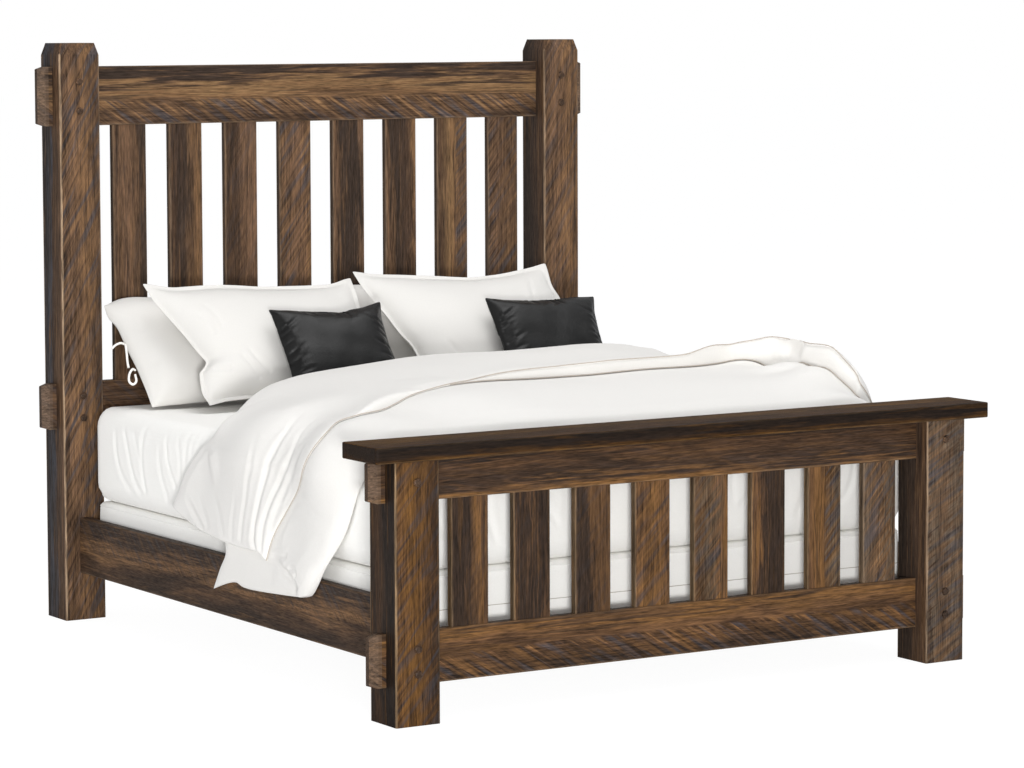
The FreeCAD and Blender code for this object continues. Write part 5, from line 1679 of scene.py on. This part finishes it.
    def add_welt(self, cushion: Pillow, piece: bpy.types.Object) -> None:
        """Run a hide welt along a cushion's seam.

        Args:
            cushion: The cushion's sizes.
            piece: Its finished mesh.
        """
        steps = np.linspace(-1, 1, 60)
        ones = np.ones(len(steps))
        across = np.concatenate([steps, ones, steps[::-1], -ones])
        up = np.concatenate([-ones, steps, ones, steps[::-1]])
        x, y, _ = cushion.outline(across, up)
        line = cushion.lean(np.c_[x, y, np.zeros(len(x))])
        faces = [tuple(face.vertices) for face in piece.data.polygons]
        tree = BVHTree.FromPolygons([tuple(point) for point in points_of(piece)], faces)
        line = np.array([tree.find_nearest(Vector(point))[0] for point in line])
        keep = np.r_[True, np.linalg.norm(np.diff(line, axis=0), axis=1) > 0.5 * MM]
        welt = tube(cushion.name + "_welt", line[keep], self.welt_radius, closed=True)
        finish_piece(welt, self.hide.material())


@dataclass(frozen=True)
class Layer:
    """One layer of the duvet, spread out over the mattress.

    Places are given in millimetres across the mattress's top and down its sides, and along the bed.

    Attributes:
        name: The piece's name.
        pairs: Rear place and front place of each line that crosses the layer.
        hem: Its left end, from the rear to the front.
        relief: The height of its upper side over the mattress.
        creases: The folds in its upper side.
        rolls: Radius of its rounding at the rear edge, the front edge and the two ends.
        edge: Thickness that is left at its rounded edges.
        boxed: Where across the bed its front edge stops being rounded and starts standing up.
        wall: Rows of the mesh in a standing front edge.
    """

    name: str
    pairs: tuple
    hem: tuple
    relief: Relief
    creases: tuple
    rolls: tuple
    edge: float = 3.0
    boxed: float | None = None
    wall: int = 0


BODY_LAYER = Layer(
    name="duvet_body",
    pairs=(
        (-1433, 52, -1370, -591), (-1363, 6, -1350, -615), (-1294, -36, -1302, -655),
        (-1200, 30, -1216, -714), (-1110, 80, -1123, -772), (-1020, 110, -1030, -825),
        (-960, 90, -976, -868), (-900, 100, -900, -872), (-799, 190, -800, -876),
        (-651, 310, -650, -876), (-506, 395, -500, -876),
        *((across, 395, across, -876) for across in (-250, 0, 300, 600, 900)),
        (1006, 380, 1006, -876), (1195, 380, 1195, -876), (1318, 380, 1318, -856),
        (1436, 380, 1436, -800),
    ),
    hem=(
        (-1433, 52), (-1404, -42), (-1393, -105), (-1402, -156), (-1400, -267), (-1383, -524),
        (-1370, -591),
    ),
    relief=Relief((
        *(
            (across, along, height)
            for across, height in ((-1440, 56), (-1300, 50), (-1200, 30), (-1100, 22), (-1010, 24))
            for along in (-850, -450, 0, 130)
        ),
        (-973, -847, 40), (-940, -800, 70), (-896, -860, 70), (-896, -700, 110), (-700, -860, 81),
        (0, -860, 83), (700, -860, 83), (896, -860, 75), (-700, -700, 112), (0, -700, 108),
        (700, -700, 115), (-600, -560, 138), (0, -500, 132), (600, -500, 132), (-409, -416, 157),
        (-150, -308, 150), (260, -230, 139), (560, -195, 141), (842, -160, 142), (917, -190, 150),
        (920, -421, 168), (920, -560, 160), (922, -601, 145), (927, -692, 105), (943, -748, 72),
        (950, -850, 40), (860, -300, 138), (860, -480, 136), (-800, 200, 60), (-500, 350, 95),
        (0, 300, 125), (0, 0, 135), (700, 300, 125), (700, 0, 138), (-700, -100, 105),
        (-917, 100, 35), (1010, 200, 70), (1010, -300, 85), (1010, -700, 60), (1100, 200, 40),
        (1100, -600, 44), (1250, 0, 46), (1250, -600, 46), (1440, 0, 54), (1440, -600, 54),
    )),
    creases=(
        Crease(((-1281, -321), (-1274, -390), (-1264, -458)), 5.0, 9.0),
        Crease(((-1311, -471), (-1299, -494), (-1300, -527), (-1317, -542)), 5.0, 8.0),
        Crease((
            (-1285, -314), (-1291, -387), (-1303, -436), (-1318, -485), (-1337, -526), (-1356, -548),
        ), 6.0, 8.0),
    ),
    rolls=(60.0, 55.0, 14.0),
)

FLAP_LAYER = Layer(
    name="duvet_flap",
    pairs=(
        (-1199, 367, -1294, -321), (-1142, 330, -1211, -351), (-1085, 293, -1113, -437),
        (-1011, 203, -1020, -554), (-958, 121, -947, -662), (-907, 123, -910, -650),
        (-799, 218, -844, -648), (-724, 280, -775, -620), (-651, 342, -700, -570),
        (-506, 430, -577, -489), (-300, 430, -409, -416), (-90, 430, -150, -308),
        (150, 430, 110, -243), (300, 430, 260, -230), (500, 430, 470, -200), (690, 430, 680, -182),
        (862, 430, 868, -152), (915, 430, 919, -225), (933, 430, 920, -421), (943, 430, 921, -560),
        (958, 430, 927, -692), (985, 430, 943, -748), (1100, 430, 1100, -780),
        (1330, 430, 1330, -760),
    ),
    hem=((-1199, 367), (-1236, 232), (-1262, 72), (-1274, -157), (-1275, -282), (-1294, -321)),
    relief=Relief((
        *(
            (across, along, height)
            for across, height in ((-1440, 76), (-1300, 68), (-1200, 46), (-1100, 34), (-1010, 34))
            for along in (-700, -350, 0, 400)
        ),
        (-964, 139, 27), (-917, 140, 51), (-800, 229, 93), (-507, 430, 132), (-300, 420, 150),
        (-90, 410, 167), (200, 400, 170), (500, 395, 172), (750, 390, 171), (917, 402, 150),
        (-926, -731, 118), (-881, -712, 142), (-775, -620, 156), (-577, -489, 161),
        (-409, -416, 161), (-150, -308, 176), (110, -243, 179), (260, -230, 183), (470, -200, 183),
        (680, -182, 186), (868, -152, 205), (921, -225, 245), (922, -285, 251), (921, -350, 250),
        (920, -421, 240), (920, -560, 236), (922, -601, 215), (927, -692, 163), (943, -748, 104),
        (0, 100, 180), (500, 100, 186), (-500, 50, 152), (-900, -300, 95), (1010, 200, 90),
        (1010, -300, 110), (1010, -700, 70), (1100, 200, 60), (1100, -600, 62), (1250, 0, 66),
        (1250, -600, 66), (1440, 0, 74), (1440, -600, 74),
    )),
    creases=(
        Crease(((-1153, 264), (-1188, 200), (-1220, 145), (-1248, 87)), 4.5, 8.0),
        Crease(((-1140, 170), (-1190, 110), (-1240, 50)), 1.9, 11.0),
        Crease(((-1118, 58), (-1160, 13), (-1202, -27), (-1250, -67)), 1.9, 12.0),
        Crease(((-1090, -125), (-1192, -115), (-1258, -125)), 1.9, 11.0),
        Crease((
            (-930, -230), (-988, -250), (-1056, -209), (-1120, -192), (-1184, -181), (-1260, -183),
        ), 3.0, 10.0),
        Crease((
            (-850, -300), (-923, -366), (-961, -360), (-1006, -326), (-1079, -286), (-1137, -266),
            (-1182, -257), (-1237, -259), (-1280, -285),
        ), 6.0, 10.0),
        Crease((
            (-850, -400), (-935, -448), (-973, -455), (-1031, -396), (-1088, -352), (-1137, -324),
            (-1201, -303), (-1285, -313),
        ), 5.2, 10.0),
        Crease((
            (-850, -430), (-941, -537), (-978, -522), (-1031, -452), (-1099, -395), (-1158, -361),
            (-1212, -341),
        ), 3.0, 12.0),
    ),
    rolls=(60.0, 28.0, 12.0),
    edge=4.0,
    boxed=-300.0,
    wall=4,
)


@dataclass
class Duvet:
    """The duvet: a thick cover that hangs down both sides, its head end turned back in a broad flap.

    Attributes:
        half: Half the width that it lies over, in millimetres.
        top: Height of the mattress's top, in millimetres.
        corner: Radius of the mattress's long edges, in millimetres.
        spacing: Mesh spacing before smoothing, in millimetres.
        gather: Places along and across of the line past which the body's left hem is gathered thin.
        thin: Thickness of the gathered part, in millimetres.
        blend: Millimetres from the left end over which the mesh follows the hem.
        lower_from: Where across the bed the lower piping comes out from under the flap.
        piping: Radius of the corded rims in metres.
        cloth: The cover's finish.
        cord: The piping's finish, a grey-beige darker than the cover: painted shade of the crevices along
            the flap's rims.
    """

    half: float = 966.0
    top: float = 739.0
    corner: float = 70.0
    spacing: float = 14.0
    gather: tuple = ((-560, -526, -485, -436, -387, -314), (-1500, -1337, -1318, -1303, -1291, -1285))
    thin: float = 9.0
    blend: float = 260.0
    lower_from: float = -409.0
    piping: float = 1.8 * MM
    cloth: Cloth = Cloth("duvet_cotton", "#e8e6e2", "#dbd8d2", crease=1.2 * MM)
    # The piping's grey-beige colour is painted shade of the crevices along the flap's rims.
    cord: Cloth = Cloth("piping_cotton", "#beb4a9", "#a0968b", 1.2 * MM, 0.1 * MM)

    def build(self) -> None:
        """Model both layers and the piping on the flap's rims."""
        for layer, inner in ((BODY_LAYER, self.clearance), (FLAP_LAYER, self.under_flap)):
            piece, rims = self.lay(layer, inner)
            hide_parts("duvet")
            finish_piece(piece, self.cloth.material())
            for name, rim in rims.items():
                welt = tube(f"{layer.name}_{name}_piping", rim * MM, self.piping)
                finish_piece(welt, self.cord.material())

    def place(self, across: np.ndarray, along: np.ndarray, height: np.ndarray) -> np.ndarray:
        """Find points over the mattress.

        Args:
            across: Place across its top and down its sides.
            along: Place along the bed.
            height: Height over the mattress, square to its surface.

        Returns:
            The points, in millimetres.
        """
        flat = self.half - self.corner
        away = np.abs(across)
        turn = np.clip((away - flat) / self.corner, 0, math.pi / 2)
        reach = self.corner + height
        x = np.minimum(away, flat) + reach * np.sin(turn)
        fall = np.maximum(away - flat - self.corner * math.pi / 2, 0)
        z = self.top - self.corner + reach * np.cos(turn) - fall
        return np.stack(np.broadcast_arrays(np.sign(across) * x, along, z), axis=-1)

    def locate(self, points: np.ndarray) -> tuple[np.ndarray, np.ndarray, np.ndarray]:
        """Find a point's place across, place along and height over the mattress.

        Args:
            points: The points, in millimetres.

        Returns:
            What place() needs to give the same points.
        """
        x, along, z = points.T
        flat = self.half - self.corner
        out = np.abs(x) - flat
        up = z - (self.top - self.corner)
        turn = np.arctan2(np.maximum(out, 0), np.maximum(up, 1e-9))
        side = flat + self.corner * math.pi / 2 - up
        across = np.where(out <= 0, np.abs(x), np.where(up <= 0, side, flat + self.corner * turn))
        height = np.where(out <= 0, up, np.where(up <= 0, out, np.hypot(out, up))) - self.corner
        return np.sign(x) * across, along, height

    def clearance(self, across: np.ndarray, along: np.ndarray) -> np.ndarray:
        """Height of the duvet's underside, which clears the side rails where it hangs past them."""
        return 3.0 + 31.0 * ease(np.abs(across), 1150.0, 1300.0) + 0.0 * along

    def body_top(self, across: np.ndarray, along: np.ndarray) -> np.ndarray:
        """Height of the body's upper side, with its thin gathered end at the left hem.

        Args:
            across: Places across the mattress.
            along: Places along the bed.

        Returns:
            The heights in millimetres.
        """
        low = self.clearance(across, along)
        line = np.interp(along, *self.gather)
        gathered = ease(across, line, line - 18)
        swell_at = np.exp(-(((across + 1300) / 60) ** 2) - (((along + 590) / 90) ** 2))
        height = BODY_LAYER.relief(across, along) + 14 * swell_at
        return np.maximum(height + gathered * (low + self.thin - height), low + 6)

    def under_flap(self, across: np.ndarray, along: np.ndarray) -> np.ndarray:
        """Height of the flap's underside, which lies on the body or on the mattress.

        Args:
            across: Places across the mattress.
            along: Places along the bed.

        Returns:
            The heights in millimetres.
        """
        low = self.clearance(across, along)
        pairs = np.array(BODY_LAYER.pairs, dtype=float)
        behind = np.interp(across, pairs[:, 0], pairs[:, 1]) - along
        share = np.sqrt(1 - (1 - np.clip(behind / BODY_LAYER.rolls[0], 0, 1)) ** 2)
        return low + (self.body_top(across, along) - low) * share + 1.0

    def free_edge(self, across: np.ndarray) -> np.ndarray:
        """Where along the bed the flap's free edge lies."""
        pairs = np.array(FLAP_LAYER.pairs, dtype=float)
        return np.interp(across, np.maximum.accumulate(pairs[:, 2]), pairs[:, 3])

    def upper(self, layer: Layer, across: np.ndarray, along: np.ndarray) -> np.ndarray:
        """Height of a layer's upper side.

        Args:
            layer: The layer.
            across: Places across the mattress.
            along: Places along the bed.

        Returns:
            The heights in millimetres.
        """
        if layer is BODY_LAYER:
            return self.body_top(across, along)
        return np.maximum(layer.relief(across, along), self.under_flap(across, along) + 8)

    def spread(self, layer: Layer) -> tuple[np.ndarray, np.ndarray, np.ndarray]:
        """Spread a layer's mesh over its outline.

        Args:
            layer: The layer.

        Returns:
            Places across and along, one row for each step from the rear to the front, and the
            share of the full thickness at each.
        """
        line = smooth_line(np.array(layer.pairs, dtype=float), 16)
        shares = np.linspace(0, 1, 5)[:, None, None]
        middle = line[None, :, :2] * (1 - shares) + line[None, :, 2:] * shares
        across, along = middle[..., 0], middle[..., 1]
        spots = self.place(across, along, self.upper(layer, across, along))
        run = np.r_[0, np.cumsum(np.linalg.norm(np.diff(spots, axis=1), axis=2).mean(axis=0))]
        rear_roll, front_roll, end_roll = layer.rolls
        turn = np.linspace(0, math.pi / 2, 6, endpoint=False)
        start = 1 - np.cos(turn)
        columns = np.linspace(end_roll, run[-1] - end_roll, int(run[-1] / self.spacing))
        at = np.concatenate([start * end_roll, columns, run[-1] - start[::-1] * end_roll])
        ends = np.concatenate([np.sin(turn), np.ones(len(columns)), np.sin(turn[::-1])])
        line = np.stack([np.interp(at, run, column) for column in line.T], axis=1)
        rear, front = line[:, :2], line[:, 2:]
        length = np.linalg.norm(front - rear, axis=1)
        rows = np.linspace(0, 1, int(length.mean() / self.spacing))[:, None]
        inner = rear_roll + (length - rear_roll - front_roll) * rows
        tail = length - front_roll * start[::-1, None]
        down = np.concatenate([rear_roll * start[:, None] + 0 * length, inner, tail]) / length
        across = rear[:, 0] + (front[:, 0] - rear[:, 0]) * down
        along = rear[:, 1] + (front[:, 1] - rear[:, 1]) * down
        hem = smooth_line(np.array(layer.hem, dtype=float), 8)
        hem_run = run_of(hem)
        weight = ease(at, self.blend, 0.0)
        for grid, place in ((across, 0), (along, 1)):
            wanted = np.interp(down[:, 0], hem_run / hem_run[-1], hem[:, place])
            grid += (wanted - grid[:, 0])[:, None] * weight
        head = np.concatenate([np.sin(turn), np.ones(len(rows) + 6)])
        tail = np.concatenate([np.ones(len(rows) + 6), np.sin(turn[::-1])])
        soft = np.ones(len(at)) if layer.boxed is None else ease(front[:, 0], layer.boxed, layer.boxed - 220)
        share = head[:, None] * (1 - soft * (1 - tail[:, None])) * ends
        return across, along, share

    def lay(self, layer: Layer, inner: Callable) -> tuple[bpy.types.Object, dict]:
        """Model, fill and crease one layer.

        Args:
            layer: The layer.
            inner: Function that gives the height of its underside.

        Returns:
            The mesh object and the lines of its front rims, by name.
        """
        across, along, share = self.spread(layer)
        low = inner(across, along)
        high = self.upper(layer, across, along)
        top = low + layer.edge + np.maximum(high - low - layer.edge, 0) * share
        outer = self.place(across, along, top)
        under = self.place(across, along, low)
        rows, columns = across.shape
        front = np.stack([across[-1], along[-1]], axis=1)
        run = np.gradient(front, axis=0)
        out = np.stack([run[:, 1], -run[:, 0]], axis=1)
        out /= np.linalg.norm(out, axis=1, keepdims=True)
        reach = front - np.stack([across[-4], along[-4]], axis=1)
        out *= np.where((out * reach).sum(axis=1, keepdims=True) < 0, -1, 1)
        walls = []
        for part in np.linspace(1, 0, layer.wall + 2)[1:-1]:
            bulged = front + 2.5 * math.sin(math.pi * part) * out
            walls.append(self.place(*bulged.T, low[-1] + (top[-1] - low[-1]) * part))
        loops = np.concatenate([outer, np.array(walls).reshape(-1, columns, 3), under[::-1]])
        piece = self.close(layer.name, loops * MM, rows)
        held = np.ones(loops.shape[:2])
        free = (share > 0.98) & (along < self.free_edge(across) - 30 if layer is BODY_LAYER else True)
        held[:rows][free] = 0.0
        swell(piece, 4 * MM, held.ravel(), pressure=3.0)
        apply_modifier(piece, "SUBSURF", levels=1, render_levels=1)
        self.crumple(piece, layer, inner)
        smooth_faces(piece)
        rims = {}
        if layer.boxed is not None:
            shown = across[-1] > self.lower_from
            rims["upper"] = self.place(*(front + out).T, top[-1])
            rims["lower"] = self.place(*(front + 2 * out)[shown].T, low[-1][shown] + 3)
        return piece, rims

    def close(self, name: str, loops: np.ndarray, rows: int) -> bpy.types.Object:
        """Make a closed skin of loops that run round a layer.

        Args:
            name: The piece's name.
            loops: Points, one row for each step round the layer and one column for each loop.
            rows: How many of the steps lie on the upper side.

        Returns:
            The mesh object.
        """
        count, columns = loops.shape[:2]
        grid = np.arange(count * columns).reshape(count, columns)
        faces = quads_of(np.vstack([grid, grid[:1]])).tolist()
        for column, turn in ((0, 1), (columns - 1, -1)):
            end = grid[:, column].tolist()
            for row in range(rows - 1):
                faces.append([end[row], end[row + 1], end[count - 2 - row], end[count - 1 - row]][::turn])
            if count > 2 * rows:
                faces.append(end[rows - 1 : count - rows + 1][::turn])
        piece = add_skin(name, loops.reshape(-1, 3), faces)
        shape = bmesh.new()
        shape.from_mesh(piece.data)
        bmesh.ops.recalc_face_normals(shape, faces=shape.faces)
        shape.to_mesh(piece.data)
        shape.free()
        return piece

    def crumple(self, piece: bpy.types.Object, layer: Layer, inner: Callable) -> None:
        """Press the layer's creases and soft waves into its upper side.

        Args:
            piece: The layer's mesh.
            layer: The layer.
            inner: Function that gives the height of its underside.
        """
        across, along, height = self.locate(points_of(piece) / MM)
        low = inner(across, along)
        high = self.upper(layer, across, along)
        weight = ease((height - low) / np.maximum(high - low, 10), 0.35, 0.75)
        waves = np.sin(0.0051 * across + 1.3 * np.sin(0.003 * along))
        waves *= np.sin(0.0063 * along + 0.0037 * across)
        waves += 0.5 * np.sin(0.011 * across - 0.004 * along) * np.sin(0.009 * along + 0.003 * across)
        soft = 3.0 * waves * ease(high - low, 15, 45)
        if layer is BODY_LAYER:
            soft *= ease(along, self.free_edge(across) - 20, self.free_edge(across) - 90)
        for crease in layer.creases:
            soft += crease.relief(across, along)
        height = np.maximum(height + weight * soft, low)
        move_points(piece, self.place(across, along, height) * MM)


def main() -> None:
    """Build the scene, class by class."""
    logging.basicConfig(level=logging.INFO, format="%(name)s: %(message)s")
    for part in (Studio(), BedFrame(), Screws(), Foundation(), Mattress(), Duvet(), Pillows()):
        LOG.info("building %s", type(part).__name__)
        part.build()
    deselect()


if __name__ == "__main__":
    main()
